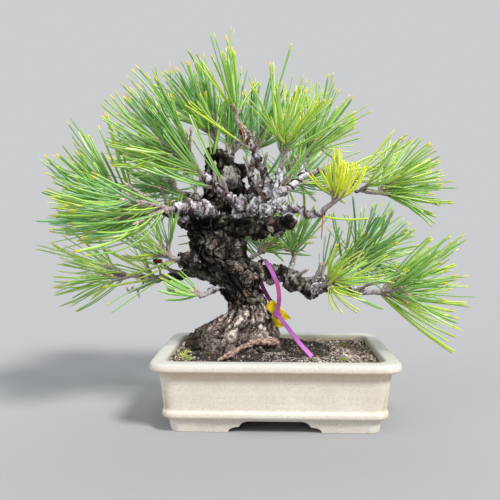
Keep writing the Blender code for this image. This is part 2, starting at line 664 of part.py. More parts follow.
def add_rod(name, start, end, radius_start, radius_end, sides):
    """A straight tapering rod between two places, in the collection of pieces."""
    shape = bmesh.new()
    bmesh.ops.create_cone(shape, cap_ends=True, segments=sides, radius1=radius_start, radius2=radius_end,
                          depth=(end - start).length)
    turn = (end - start).to_track_quat("Z", "Y").to_matrix()
    bmesh.ops.rotate(shape, verts=shape.verts, matrix=turn)
    bmesh.ops.translate(shape, verts=shape.verts, vec=(start + end) / 2)
    mesh = bpy.data.meshes.new(name)
    shape.to_mesh(mesh)
    shape.free()
    return add_object(name, mesh, PIECES)


def join_mass(name, stem, shoots, needles):
    """One body of the stem, its shoots and their needles."""
    body = add_rod(name, *stem, STEM_SIDES)
    PIECES.objects.unlink(body)
    TREE.objects.link(body)
    for shoot in shoots:
        add_rod(name + "_shoot", *shoot, SHOOT_SIDES)
    for root, tip in needles:
        add_rod(name + "_needle", root, tip, NEEDLE_ROOT, NEEDLE_TIP, NEEDLE_SIDES)
    union = body.modifiers.new("UNION", "BOOLEAN")
    union.operation = "UNION"
    union.operand_type = "COLLECTION"
    union.collection = PIECES
    union.solver = "MANIFOLD"
    mesh = evaluated_mesh(body, name)
    body.modifiers.clear()
    body.data = mesh
    mesh.materials.clear()
    mesh.materials.append(material("needles"))
    for piece in list(PIECES.objects):
        discard(piece)


def build_masses():
    """Grows every mass of needles in its own space and joins each into one body."""
    taken = Taken()
    taken.add_limb("trunk", [in_mm(x, y, z) for z, x, y, _ in TRUNK], [radius * MM for *_, radius in TRUNK])
    for name, limb in LIMBS.items():
        route, radii = limb_course(limb)
        taken.add_limb(name, route, [radius * MM for radius in radii])
    hearts = {name: heart_of(mass) for name, mass in MASSES.items()}
    chances = {name: random.Random(f"{name} {GROWTH_SEED}") for name in MASSES}
    grown = {}
    for name, mass in MASSES.items():
        grown[name] = grow_shoots(name, mass, taken, chances[name])
    for name, mass in MASSES.items():
        stem, shoots = grown[name]
        needles = grow_needles(name, mass, shoots, taken, hearts, chances[name])
        join_mass(name, stem, shoots, needles)


def ribbon_rings(route, width, thick, grow=0.0):
    """Oblong sections along a route, each with its broad side as near to X as the route lets it."""
    rings = []
    for index, place in enumerate(route):
        before, after = route[max(index - 1, 0)], route[min(index + 1, len(route) - 1)]
        way = (after - before).normalized()
        across = Vector((1, 0, 0)) - way * way.x
        across.normalize()
        out = way.cross(across)
        half_width, half_thick = width / 2 + grow, thick / 2 + grow
        rings.append([place + across * side * half_width + out * face * half_thick
                      for side, face in ((1, 1), (-1, 1), (-1, -1), (1, -1))])
    return rings


def build_strap(soil):
    """The strap's loop and tail with the lock that holds them, in one body."""
    surface = BVHTree.FromObject(soil, bpy.context.evaluated_depsgraph_get())
    end_x, end_y = STRAP_TAIL_END[0] * MM, STRAP_TAIL_END[1] * MM
    ground = surface.ray_cast(Vector((end_x, end_y, 1)), Vector((0, 0, -1)))[0]
    tail = smooth_route(STRAP_TAIL, TAIL_STEP) + [Vector((end_x, end_y, ground.z + TAIL_LIFT))]
    loop = smooth_route(STRAP_LOOP, LOOP_STEP)
    loop_mesh = lofted("tie_strap", ribbon_rings(loop, STRAP_WIDTH, STRAP_THICK))
    strap = add_object("tie_strap", loop_mesh, TREE, "strap")
    tail_mesh = lofted("strap_tail", ribbon_rings(tail, STRAP_WIDTH, STRAP_THICK))
    tail_piece = as_cutter(add_object("strap_tail", tail_mesh, CUTTERS))
    bpy.ops.mesh.primitive_cube_add(size=1.0, location=in_mm(*STRAP_LOCK))
    lock = bpy.context.object
    lock.users_collection[0].objects.unlink(lock)
    CUTTERS.objects.link(as_cutter(lock))
    lock.scale = LOCK_SIZE
    lock.rotation_euler = (0, LOCK_TILT, 0)
    apply_booleans(strap, [("UNION", tail_piece), ("UNION", lock)])
    around = lofted("around_strap", ribbon_rings(loop, STRAP_WIDTH, STRAP_THICK, GAP * 1.2))
    return as_cutter(add_object("around_strap", around, CUTTERS))


def build_tag(around_strap):
    """The yellow tag: a thin plate with one pointed end, slotted on the back run of the strap."""
    half_length, half_width = TAG_SIZE[0] / 2, TAG_SIZE[1] / 2
    outline = ((-half_length, -half_width), (half_length - TAG_POINT, -half_width),
               (half_length, 0.35 * half_width), (half_length - 0.4 * TAG_POINT, half_width),
               (-half_length, half_width))
    curve = bpy.data.curves.new("tag", "CURVE")
    curve.dimensions = "2D"
    curve.fill_mode = "BOTH"
    curve.extrude = TAG_THICK / 2
    spline = curve.splines.new("POLY")
    spline.points.add(len(outline) - 1)
    for point, place in zip(spline.points, outline):
        point.co = (*place, 0.0, 1.0)
    spline.use_cyclic_u = True
    drawn = bpy.data.objects.new("tag", curve)
    CUTTERS.objects.link(drawn)
    drawn.location = in_mm(*TAG_PLACE)
    drawn.rotation_euler = [math.radians(angle) for angle in TAG_TURN]
    bpy.context.view_layer.update()
    tag = add_object("tie_tag", evaluated_mesh(drawn, "tie_tag"), TREE, "tag")
    tag.matrix_world = drawn.matrix_world
    discard(drawn)
    apply_booleans(tag, [("DIFFERENCE", around_strap)])
    return tag


def centre_on_box():
    """Moves everything so that the origin is at the bottom middle of the whole plant's box."""
    bpy.context.view_layer.update()
    corners = [part.matrix_world @ Vector(corner) for part in TREE.objects for corner in part.bound_box]
    low = Vector([min(corner[axis] for corner in corners) for axis in range(3)])
    high = Vector([max(corner[axis] for corner in corners) for axis in range(3)])
    shift = Vector((-(low.x + high.x) / 2, -(low.y + high.y) / 2, -low.z))
    for thing in bpy.data.objects:
        thing.location += shift
    bpy.context.view_layer.update()


def main():
    """Builds the whole plant."""
    build_pot()
    soil = build_soil()
    build_trunk_and_limbs(soil)
    build_tag(build_strap(soil))
    build_masses()
    centre_on_box()


main()
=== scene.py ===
"""The looks of a Japanese black pine bonsai in its rectangular stoneware pot.

Shapes are worked out in millimetres round the middle of the pot, with the ground at z = 0, +X to the
right and -Y towards the viewer, as in the part's source. Every piece's object then sits at MIDDLE.
"""
import contextlib
import itertools
import math
import random
from collections import namedtuple
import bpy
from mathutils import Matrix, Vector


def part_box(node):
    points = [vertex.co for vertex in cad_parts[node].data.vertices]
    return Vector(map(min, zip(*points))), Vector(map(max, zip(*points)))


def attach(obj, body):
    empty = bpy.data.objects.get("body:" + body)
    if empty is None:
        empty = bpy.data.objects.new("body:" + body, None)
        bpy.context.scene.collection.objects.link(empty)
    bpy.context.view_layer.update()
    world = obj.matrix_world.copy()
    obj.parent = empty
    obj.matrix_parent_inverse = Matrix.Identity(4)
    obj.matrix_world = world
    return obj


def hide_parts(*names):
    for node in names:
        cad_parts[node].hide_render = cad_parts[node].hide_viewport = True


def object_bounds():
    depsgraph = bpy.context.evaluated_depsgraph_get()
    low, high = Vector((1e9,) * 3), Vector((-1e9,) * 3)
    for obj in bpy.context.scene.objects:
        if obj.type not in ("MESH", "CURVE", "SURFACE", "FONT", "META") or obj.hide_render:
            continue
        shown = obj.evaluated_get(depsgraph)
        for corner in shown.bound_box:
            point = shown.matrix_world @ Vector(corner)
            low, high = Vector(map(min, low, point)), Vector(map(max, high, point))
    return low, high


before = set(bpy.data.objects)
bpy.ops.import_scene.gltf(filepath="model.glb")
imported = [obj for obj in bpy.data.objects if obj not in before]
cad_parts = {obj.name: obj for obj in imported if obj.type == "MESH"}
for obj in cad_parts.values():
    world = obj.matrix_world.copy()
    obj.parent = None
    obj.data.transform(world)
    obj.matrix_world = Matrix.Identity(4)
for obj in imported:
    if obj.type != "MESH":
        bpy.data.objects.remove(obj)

from types import SimpleNamespace

import bmesh
import bpy
import numpy as np
from mathutils import Euler, Quaternion, Vector
from mathutils.bvhtree import BVHTree

CAD_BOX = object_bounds()
POT_LOW, POT_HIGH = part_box("pot")
MIDDLE = Vector(((POT_LOW.x + POT_HIGH.x) / 2, (POT_LOW.y + POT_HIGH.y) / 2, 0.0))
METRES = 0.001
GOLDEN_TURN = math.radians(137.5)

# The pot, as in the source: inset from the lip's outer edge and height
POT_LENGTH = 203
POT_DEPTH = 154
POT_CORNER = 16
POT_OUTSIDE = ((16.0, 9.5), (13.2, 9.8), (12.0, 11.4), (10.2, 12.4), (9.3, 14.0), (9.3, 16.8), (10.3, 18.3),
               (10.7, 19.2), (7.3, 47.2), (6.4, 50.2), (1.5, 51.2), (0.2, 52.6), (0.0, 55.4), (0.7, 57.8),
               (2.6, 59.0), (10.4, 59.1), (12.2, 58.2))
POT_INSIDE = ((12.9, 55.5), (13.2, 30.0), (15.0, 16.5), (18.0, 14.5))
FOOT_INSET = 14.2
FOOT_WALL = 11
FOOT_TOP = 11.5
FOOT_TAPER = 1.6
FOOT_ARCH = ((0.0, -1.0), (0.8, 1.6), (3.2, 3.6), (7.0, 4.4), (9.6, 4.6), (10.4, 6.6), (13.0, 8.6),
             (17.0, 9.5))
ARCH_HALF_LENGTH = 38.5
ARCH_HALF_DEPTH = 27
DRAIN_HOLE = 17
DRAIN_SPACING = 96
SOIL_EDGE = 53.0
SOIL_TOP = 60.0
SOIL_TOP_CENTRE = (-33, -4)
SOIL_TOP_HALF = (50, 43)
SOIL_TOP_CORNER = 36

# The trunk: height, middle x, middle y and radius, and the roots of its flare: direction and
# half-width in degrees, reach, height of the back, and how blunt that back is
TRUNK = ((60.3, -33, -3, 33.0), (67, -31, -3, 31.5), (74, -29, -3, 28.5), (82.6, -24.5, -2, 23.5),
         (89, -24, -1, 20.0), (96, -24.8, 0, 17.8), (107.8, -30.2, 0, 17.6), (118.6, -37.3, 0, 20.4),
         (129.3, -43.6, 0, 22.8), (140.9, -49.0, 0, 24.3), (154.3, -51.6, 0, 24.2), (165.1, -53.4, 0, 23.0),
         (176.6, -50.7, 0, 21.4), (190, -45.6, 0, 18.4), (203.3, -43.9, 0, 16.9), (216.6, -45.2, 0, 15.4),
         (227.2, -50.0, 0, 10.7), (234.3, -52.3, 0, 5.3))
ROOTS = ((180, 34, 15, 89, 3.0), (222, 18, 7, 86, 2.0), (259, 12, 8, 102, 0.8), (292, 15, 7, 80, 2.0),
         (326, 15, 8, 106, 0.8), (2, 22, 8, 100, 0.8), (58, 19, 6, 96, 0.8), (118, 20, 6, 92, 0.8))
OLD_BARK_RADIUS = 15
# The two ridges that part below the neck in front: height, the direction of the left and of the right
# one, and their half-width in degrees
FORK = ((58, 240, 334, 9), (66, 246, 326, 9), (78, 254, 306, 9), (90, 266, 284, 10), (104, 272, 274, 12),
        (116, 268, 268, 12))
FORK_HEIGHT = 3.4
FORK_DEPTH = 1.3
FORK_FADE = (92, 108)
# The root that shows on the soil in front: its places and, last, its radius
FRONT_ROOT = ((-46.8, -57, 57.6, 1.5), (-40.5, -54, 61.2, 2.1), (-34, -50, 64.6, 2.6), (-24, -44, 68.4, 2.7),
              (-12.5, -39, 71.2, 3.2), (-2, -34, 70, 3.8), (1, -26, 67.5, 4.2), (-6, -18, 66, 4.2))

# The limbs, as in the source: what each grows from, its radius at the foot and the tip, how late it
# tapers, and its route
LIMBS = {
    "bough_low_right": ("trunk", 10.0, 2.6, 1.3, (
        (-42, 0, 128), (-11, -4, 125.2), (9, -8, 122.9), (26.5, -10, 114.4), (48, -12, 112.9),
        (67, -14, 111.4), (84, -15, 109.8))),
    "bough_low_right_back": ("bough_low_right", 5.0, 2.6, 0.8, (
        (22, -9, 117), (31, 6, 116.5), (47, 25, 118.4), (67, 42, 126.4))),
    "spur_low_right": ("bough_low_right", 3.6, 2.4, 0.8, ((35, -12, 113), (37, -21, 115), (40, -28, 117))),
    "spur_low_right_up": ("bough_low_right", 3.6, 2.4, 0.8, ((14, -8, 119), (14, 0, 127), (16, 8, 134))),
    "spur_back": ("trunk", 4.4, 2.6, 0.8, ((-42, 8, 131), (-28, 20, 134), (-20, 30, 138))),
    "bough_mid_right": ("trunk", 9.6, 2.8, 1.0, (
        (-50, -2, 180), (-21.6, -14, 181), (-2.5, -22, 180.8), (14.4, -28, 181.6), (27.7, -32, 177.8),
        (36, -36.5, 177.2), (41.8, -39, 181.5))),
    "stub_mid_right": ("bough_mid_right", 9.0, 6.8, 0.8, (
        (-44, -6, 165), (-26, -15, 165.6), (-8, -22, 167.6), (8, -27, 169.6))),
    "riser_top": ("bough_mid_right", 5.0, 2.6, 0.8, (
        (-14.5, -16, 183), (-7.7, -20, 198), (-11.2, -18, 215), (-21.6, -15, 237), (-29.4, -14, 252))),
    "riser_middle": ("bough_mid_right", 4.2, 2.5, 0.8, (
        (-29, -9, 182), (-20.5, 1, 200), (-21.5, 7, 214), (-20, 11, 226))),
    "riser_front": ("bough_mid_right", 4.4, 2.5, 0.8, (
        (2, -24, 183), (1.5, -25, 192), (2.5, -29, 206), (5, -32, 217))),
    "riser_right": ("riser_front", 4.0, 2.8, 0.8, ((2, -26, 195), (9, -14, 199), (22, 0, 209), (26, 5, 221))),
    "riser_far_right": ("riser_right", 2.7, 2.2, 0.8, (
        (22.5, 1, 210.5), (39.8, -1, 214.6), (54.4, -5, 207.2), (71.3, -10, 198.6), (80.5, -12, 197.2))),
    "bough_left_front": ("trunk", 8.0, 3.0, 0.8, (
        (-49, -4, 176), (-60.9, -30, 181.5), (-72.2, -42, 183), (-80, -49, 182))),
    "bough_left_mid": ("trunk", 8.6, 3.0, 0.8, (
        (-52, 3, 175.5), (-63, 3, 176.6), (-79, -8, 179.2), (-100, -14, 181), (-117.6, -15, 180))),
    "bough_upper_left": ("bough_mid_right", 5.6, 3.0, 0.8, (
        (-28.5, -18, 182), (-39.7, -29, 192.4), (-51.5, -30, 202.5), (-60, -25, 210))),
    "bough_low_left": ("trunk", 7.6, 2.8, 0.8, (
        (-44, 4, 130.5), (-56, 8, 128.6), (-71, 8, 127), (-90, 7, 121), (-106, 8, 118.5), (-123, 10, 120.2))),
    "spur_low_left": ("trunk", 5.0, 2.6, 0.8, ((-38, -6, 111.5), (-50, -14, 112.8), (-57.5, -21, 109.5))),
    "stub_left": ("trunk", 8.2, 6.4, 0.8, (
        (-50, -5, 136), (-62, -10, 136), (-72.3, -15, 137.3), (-82, -20, 138.4))),
    "bough_back_left": ("trunk", 7.0, 3.0, 0.8, (
        (-51, 7, 178), (-62, 28, 184), (-76, 46, 192), (-90, 60, 198))),
    "bough_back_right": ("trunk", 6.2, 3.0, 0.8, (
        (-44, 5, 190), (-30, 26, 195), (-12, 42, 200), (5, 54, 204))),
    "bough_back_top": ("trunk", 5.0, 2.8, 0.8, ((-45, 3, 212), (-43, 20, 222), (-40, 34, 232))),
    "bough_back_low": ("trunk", 6.0, 3.0, 0.8, ((-47, 9, 152), (-42, 34, 155), (-36, 56, 160))),
    "dead_twig": ("bough_low_left", 2.4, 1.1, 0.8, (
        (-106, 6, 118), (-112, -3, 115.5), (-121, -8, 111.6), (-130, -10, 108.3))),
}
LIMB_STEP = 10

# A mass of needles, as in the source: the limb whose tip it grows from, the way it leans, its
# shoots and their length, how widely they fan, the needles' length, how widely they open, and how
# much the shoots turn up
Mass = namedtuple("Mass", "limb lean shoots shoot_length fan needle_length cone lift")
MASSES = {
    "needles_far_left": ("bough_left_mid", (-0.92, 0.0, 0.40), 6, 32, 44, 56, 32, 0.10),
    "needles_upper_left": ("bough_upper_left", (-0.85, 0.12, 0.55), 8, 44, 44, 58, 28, 0.10),
    "needles_left_front": ("bough_left_front", (-0.93, -0.34, -0.08), 5, 40, 34, 64, 26, 0.05),
    "needles_low_left": ("bough_low_left", (-1.0, 0.0, 0.02), 5, 26, 36, 54, 30, 0.05),
    "needles_spur_left": ("spur_low_left", (-0.9, -0.15, 0.5), 2, 7, 30, 28, 28, 0.1),
    "needles_stub_left": ("stub_left", (-0.6, -0.35, 0.7), 3, 16, 50, 44, 40, 0.1),
    "needles_crown": ("trunk", (-0.42, 0.05, 0.90), 5, 20, 36, 60, 28, 0.2),
    "needles_riser_top": ("riser_top", (-0.15, -0.06, 1.0), 3, 10, 24, 66, 17, 0.2),
    "needles_riser_middle": ("riser_middle", (0.40, 0.25, 0.88), 4, 22, 42, 58, 34, 0.2),
    "needles_riser_front": ("riser_front", (0.32, -0.25, 0.92), 4, 18, 42, 56, 38, 0.2),
    "needles_riser_right": ("riser_right", (0.50, 0.12, 0.85), 4, 16, 40, 56, 38, 0.15),
    "needles_riser_far_right": ("riser_far_right", (0.95, 0.0, 0.26), 5, 16, 44, 51, 36, 0.1),
    "needles_mid_right": ("bough_mid_right", (0.42, -0.35, 0.84), 4, 10, 40, 38, 36, 0.15),
    "needles_spur_right": ("spur_low_right", (0.72, -0.62, 0.10), 4, 12, 58, 42, 44, 0.0),
    "needles_low_right_up": ("spur_low_right_up", (0.05, 0.15, 0.98), 3, 9, 58, 46, 42, 0.1),
    "needles_spur_back": ("spur_back", (0.60, 0.50, 0.55), 3, 14, 40, 48, 40, 0.1),
    "needles_low_right": ("bough_low_right", (1.0, -0.12, 0.14), 6, 22, 46, 57, 33, 0.08),
    "needles_low_right_back": ("bough_low_right_back", (0.74, 0.34, 0.52), 5, 24, 50, 54, 42, 0.1),
    "needles_back_left": ("bough_back_left", (-0.75, 0.55, 0.40), 5, 30, 50, 56, 40, 0.1),
    "needles_back_right": ("bough_back_right", (0.55, 0.70, 0.42), 5, 28, 50, 56, 40, 0.1),
    "needles_back_top": ("bough_back_top", (-0.05, 0.55, 0.85), 5, 24, 42, 56, 36, 0.15),
    "needles_back_low": ("bough_back_low", (0.05, 1.0, 0.12), 5, 24, 50, 54, 42, 0.1),
}
MASSES = {name: Mass(*row) for name, row in MASSES.items()}
STEM_LENGTH = 10
STEM_RADIUS = 2.4
SHOOT_RADIUS = 2.0
TWIG_RADIUS = 1.6
NEEDLE_CLEARANCE = 0.5
TRIES = 6
RETRY_TURN = math.radians(60)
GROWTH_SEED = 4

# How each mass is carried finer: needle pairs on a shoot and how far down it they grow, side twigs on a
# shoot and pairs on each of those, twigs on the limb itself and pairs on each of those, how needles
# gather to the shoot, the way they are drawn along their length, and the tones in use
Spray = namedtuple("Spray", "pairs down side_twigs side_pairs limb_twigs limb_pairs gather comb tones")
# The tones are dealt partly as painted light and shade: deeper and bluer ones on the back masses, fresher and
# brighter ones on the right
SPRAYS = {
    "needles_far_left": (9, 0.85, 1, 4, 3, 6, 0.30, (0.0, 0, 0.20), ("mid", "fresh", "deep", "fresh")),
    "needles_upper_left": (8, 0.95, 1, 3, 6, 6, 0.32, (0.06, 0, 0.14), ("mid", "deep", "fresh", "fresh")),
    "needles_left_front": (7, 1.0, 1, 3, 0, 0, 0.16, (-1.0, 0.42, 0.64), ("mid", "fresh", "blue", "fresh")),
    "needles_low_left": (4, 0.8, 1, 2, 5, 3, 0.12, (-0.05, 0, 0.0), ("fresh", "mid", "fresh", "lime")),
    "needles_spur_left": (6, 0.8, 0, 0, 0, 0, 0.30, (-0.75, 0, 0.55), ("mid", "blue")),
    "needles_stub_left": (4, 0.8, 1, 2, 2, 3, 0.05, (0, 0, 0), ("fresh", "mid", "lime")),
    "needles_crown": (8, 0.9, 1, 4, 0, 0, 0.30, (-0.10, 0, 0), ("mid", "fresh", "deep")),
    "needles_riser_top": (4, 0.9, 1, 2, 2, 3, 0.30, (-0.05, 0, 0), ("fresh", "mid", "lime")),
    "needles_riser_middle": (6, 0.9, 1, 3, 2, 4, 0.15, (0, 0, 0), ("deep", "blue", "mid")),
    "needles_riser_front": (6, 0.9, 1, 3, 1, 4, 0.12, (0, 0, 0), ("fresh", "mid", "lime")),
    "needles_riser_right": (6, 0.9, 1, 3, 2, 4, 0.12, (0, 0, 0), ("fresh", "mid", "fresh")),
    "needles_riser_far_right": (7, 0.9, 1, 4, 3, 5, 0.22, (0.12, 0, 0), ("fresh", "lime", "mid", "fresh")),
    "needles_mid_right": (5, 0.8, 1, 2, 0, 0, 0.55, (-0.20, 0, 0.75), ("lime", "bright", "bright")),
    "needles_spur_right": (4, 0.9, 1, 2, 0, 0, 0.20, (0.30, 0, 0.12), ("fresh", "mid", "lime")),
    "needles_low_right_up": (6, 0.9, 1, 3, 0, 0, 0.0, (0, 0, 0), ("mid", "fresh", "blue")),
    "needles_spur_back": (6, 0.9, 1, 4, 0, 0, 0.05, (0, 0, 0), ("blue", "mid", "fresh")),
    "needles_low_right": (6, 0.9, 1, 3, 5, 4, 0.16, (0.15, 0, 0.24), ("fresh", "mid", "mid", "lime")),
    "needles_low_right_back": (7, 0.9, 1, 4, 5, 5, 0.10, (0, 0, 0), ("blue", "mid", "fresh", "mid")),
    "needles_back_left": (9, 0.8, 1, 4, 4, 6, 0.20, (0, 0, 0), ("deep", "mid", "blue")),
    "needles_back_right": (8, 0.8, 1, 4, 4, 5, 0.20, (0, 0, 0), ("mid", "deep", "fresh")),
    "needles_back_top": (8, 0.8, 1, 4, 2, 6, 0.20, (0, 0, 0), ("mid", "deep")),
    "needles_back_low": (9, 0.8, 1, 4, 3, 6, 0.20, (0, 0, 0), ("deep", "mid", "blue")),
}
SPRAYS = {name: Spray(*row) for name, row in SPRAYS.items()}

# How far the needles of a mass first hang before they are drawn along
DROOPS = {"needles_left_front": 0.55, "needles_spur_left": 0.62, "needles_far_left": 0.10,
          "needles_upper_left": 0.08, "needles_low_right": 0.06}

# Masses whose needles are shorter than the source's, and those that keep more strictly to their side
SHORTER = {"needles_mid_right": 0.80, "needles_riser_top": 0.94}
LEAST_LEANS = {"needles_spur_right": 0.45, "needles_low_right": 0.25}

# Each tone's green, and the paler line of its flat side, which is partly the needle's pale stomata and partly
# a painted highlight; the deeper tones stand partly for shade and the brighter ones for light
NEEDLE_TONES = {
    "deep": ((0.125, 0.335, 0.062), (0.36, 0.57, 0.29)),
    "mid": ((0.230, 0.490, 0.085), (0.50, 0.71, 0.34)),
    "blue": ((0.155, 0.400, 0.145), (0.42, 0.63, 0.42)),
    "fresh": ((0.345, 0.600, 0.080), (0.61, 0.79, 0.33)),
    "lime": ((0.500, 0.690, 0.050), (0.73, 0.85, 0.26)),
    "bright": ((0.740, 0.860, 0.030), (0.88, 0.92, 0.24)),
}
NEEDLE_ENDS = {
    "base": (0.50, 0.58, 0.22),
    "turning": (0.50, 0.60, 0.045),
    "tip": (0.68, 0.58, 0.05),
    "tip_dry": (0.56, 0.34, 0.06),
    "dry": (0.42, 0.13, 0.02),
    "sheath": (0.30, 0.22, 0.17),
}
TIP_SHARES = (0.93, 0.975)
DRY_TIP_SHARE = 0.06
YELLOW_TIP_SHARE = 0.58
TURNING_SHARE = 0.04
DRY_SHARE = 0.0012
# Single needles that stand apart: the mass that each belongs to, its foot, its tip, its tone and how far
# it turns up along its length
STRAY_NEEDLES = (
    ("needles_riser_middle", (-11.3, 6, 239), (13.2, -8, 326), "mid", 0.0),
    ("needles_riser_top", (-30.2, -17, 256), (-25.2, -20, 234), "dry", 0.0),
    ("needles_mid_right", (40.0, -40, 179), (38.0, -42, 156), "dry", 0.0),
    ("needles_mid_right", (38.0, -38, 175.5), (76.1, -48, 173.3), "lime", 0.36),
    ("needles_low_right", (91.0, -15.3, 108.6), (152.8, -28, 72.2), "mid", 0.30),
    ("needles_low_right", (92.0, -15.4, 108.2), (146.4, -32, 68.8), "fresh", 0.30),
    ("needles_low_right", (90.5, -15.6, 108.4), (150.1, -36, 61.2), "lime", 0.30),
    ("needles_low_right", (91.0, -15.8, 108.0), (149.3, -34, 59.4), "lime", 0.28),
    ("needles_far_left", (-121.5, -14.4, 183.5), (-151.9, -5, 267.5), "fresh", 0.05),
    ("needles_far_left", (-122.2, -14.6, 183.2), (-148.5, -8, 266.0), "fresh", 0.10),
    ("needles_far_left", (-121.0, -15.2, 183.6), (-140.1, -10, 256.2), "mid", 0.05),
    ("needles_far_left", (-123.0, -14.8, 183.4), (-157.1, -6, 255.3), "mid", 0.12),
    ("needles_far_left", (-122.6, -15.6, 183.0), (-144.0, -18, 250.0), "fresh", 0.10),
    ("needles_crown", (-56.0, -4.5, 226.5), (-60.8, -14, 283.5), "fresh", 0.04),
    ("needles_crown", (-55.5, -4.7, 226.4), (-61.8, -12, 282.0), "mid", 0.04),
    ("needles_crown", (-54.8, -4.8, 226.5), (-43.0, -14, 280.0), "fresh", 0.04),
    ("needles_crown", (-54.4, -4.6, 226.6), (-41.2, -11, 278.0), "mid", 0.06),
)
NEEDLE_WIDTH = 0.84
NEEDLE_THICKNESS = 0.85
NEEDLE_STATIONS = (0.0, 0.06, 0.20, 0.36, 0.53, 0.70)
NEEDLE_PROFILE = (0.62, 0.86, 0.97, 1.0, 1.0, 1.0, 0.97, 0.90, 0.42)


# Noise

def hashed(cells, salt):
    """A number from 0 to 1 for each whole-numbered cell."""
    cells = cells.astype(np.int64)
    mixed = (cells * (374761393, 668265263, 1442695041)).sum(axis=-1) + salt * 1274126177
    mixed = (mixed ^ (mixed >> 13)) * 1274126177
    mixed = (mixed ^ (mixed >> 16)) * 668265263
    mixed = mixed ^ (mixed >> 15)
    return (mixed & 0xFFFFFF) / float(0xFFFFFF)


def smooth_noise(points, salt=0):
    """Smooth noise from -1 to 1, with lumps one unit apart."""
    low = np.floor(points)
    part = points - low
    part = part * part * (3 - 2 * part)
    total = np.zeros(len(points))
    for corner in itertools.product((0, 1), repeat=3):
        weight = np.prod(np.where(corner, part, 1 - part), axis=1)
        total += weight * hashed(low + corner, salt)
    return 2 * total - 1


def rough_noise(points, octaves, salt=0):
    """Smooth noise summed over finer and finer lumps."""
    return sum(smooth_noise(points * 2 ** k, salt + k) / 2 ** k for k in range(octaves))


def rough_shifts(points, octaves, salt):
    """Rough noise along each axis."""
    return np.stack([rough_noise(points, octaves, salt + axis) for axis in range(3)], axis=1)


def plates(points, salt):
    """Cells like plates of bark: how near each point is to a crack, its plate's own numbers, and where
    it lies from the plate's middle."""
    low = np.floor(points)
    nearest = np.full(len(points), 9.0)
    second = nearest.copy()
    middle = np.zeros_like(points)
    home = np.zeros_like(points)
    for step in itertools.product((-1, 0, 1), repeat=3):
        cell = low + step
        seed = cell + np.stack([hashed(cell, salt + k) for k in range(3)], axis=1)
        distance = np.linalg.norm(seed - points, axis=1)
        closer = distance < nearest
        second = np.where(closer, nearest, np.minimum(second, distance))
        nearest = np.where(closer, distance, nearest)
        middle[closer] = seed[closer]
        home[closer] = cell[closer]
    own = np.stack([hashed(home, salt + 7 + k) for k in range(4)], axis=1)
    return second - nearest, own, points - middle


def ease(value, low, high):
    """0 below low, 1 above high and smooth between."""
    share = np.clip((value - low) / (high - low), 0, 1)
    return share * share * (3 - 2 * share)


# Shapes

def unit(vectors):
    """The vectors at length one."""
    return vectors / np.maximum(np.linalg.norm(vectors, axis=-1, keepdims=True), 1e-9)


def round_angles(count):
    """Angles at even steps all round."""
    return 2 * math.pi * np.arange(count) / count


def band_faces(rings, sides, closed=False):
    """Quads between rings of points, an (n, 4) array."""
    ring = np.arange(rings if closed else rings - 1)[:, None]
    side = np.arange(sides)[None, :]
    here = ring * sides
    after = (ring + 1) % rings * sides
    turned = (side + 1) % sides
    return np.stack([here + side, here + turned, after + turned, after + side], axis=-1).reshape(-1, 4)


def skin(rings, closed=False):
    """The vertices and faces of a skin over rings of equal count, capped unless it closes on itself."""
    sides, count = len(rings[0]), len(rings[0]) * len(rings)
    faces = band_faces(len(rings), sides, closed).tolist()
    if not closed:
        faces += [list(range(sides - 1, -1, -1)), list(range(count - sides, count))]
    return np.concatenate(rings), faces


def carried(places, across):
    """For each place on a line, two directions across it that turn as little as they can."""
    for way in unit(np.gradient(places, axis=0)):
        across = unit(across - way * (across @ way))
        yield across, np.cross(way, across)


def tube_shape(places, radii, sides, roll=0.0):
    """A closed tube through the places: its vertices and its faces."""
    places = np.asarray(places, float)
    across = np.cross(unit(np.gradient(places, axis=0))[0], (0.0, 0.0, 1.0))
    if np.linalg.norm(across) < 0.05:
        across = np.array((1.0, 0.0, 0.0))
    angles = roll + round_angles(sides)
    return skin([place + radius * (np.outer(np.cos(angles), side) + np.outer(np.sin(angles), up))
                 for place, radius, (side, up) in zip(places, radii, carried(places, across))])


def lump_shape(detail, seed):
    """A round stone of few faces, its vertices pushed about."""
    shape = bmesh.new()
    bmesh.ops.create_icosphere(shape, subdivisions=detail, radius=1.0)
    vertices = np.array([vertex.co for vertex in shape.verts])
    faces = [[vertex.index for vertex in face.verts] for face in shape.faces]
    shape.free()
    push = np.random.default_rng(seed).uniform(0.78, 1.18, (len(vertices), 1))
    return vertices * push, faces


class Heap:
    """Many small shapes on their way to one mesh, each face with the name of its finish."""

    def __init__(self):
        self.vertices = []
        self.faces = []
        self.names = []
        self.count = 0

    def add(self, vertices, faces, name):
        """Takes one more shape; name is one finish, or one for each face."""
        self.vertices.append(vertices)
        self.faces.extend([corner + self.count for corner in face] for face in faces)
        self.names.extend([name] * len(faces) if isinstance(name, str) else name)
        self.count += len(vertices)

    def add_tube(self, places, radii, sides, name, **how):
        """Takes a tube."""
        self.add(*tube_shape(places, radii, sides, **how), name)

    def mesh(self, title, smooth=True):
        """The mesh, with the finishes that it uses in its slots."""
        made = bpy.data.meshes.new(title)
        vertices = np.concatenate(self.vertices) * METRES
        made.from_pydata(vertices.tolist(), [], self.faces)
        used = sorted(set(self.names))
        for name in used:
            made.materials.append(FINISHES[name])
        index = {name: number for number, name in enumerate(used)}
        made.polygons.foreach_set("material_index", [index[name] for name in self.names])
        made.polygons.foreach_set("use_smooth", [smooth] * len(self.names))
        made.update()
        return made


def new_object(name, data):
    """A new object in the scene."""
    made = bpy.data.objects.new(name, data)
    bpy.context.scene.collection.objects.link(made)
    return made


def add_piece(name, mesh, replaces=()):
    """Puts a mesh in its place on the plant."""
    piece = new_object(name, mesh)
    piece.location = MIDDLE
    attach(piece, "root")
    if replaces:
        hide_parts(*replaces)


def discard(thing):
    """Removes a helping object."""
    bpy.data.objects.remove(thing)


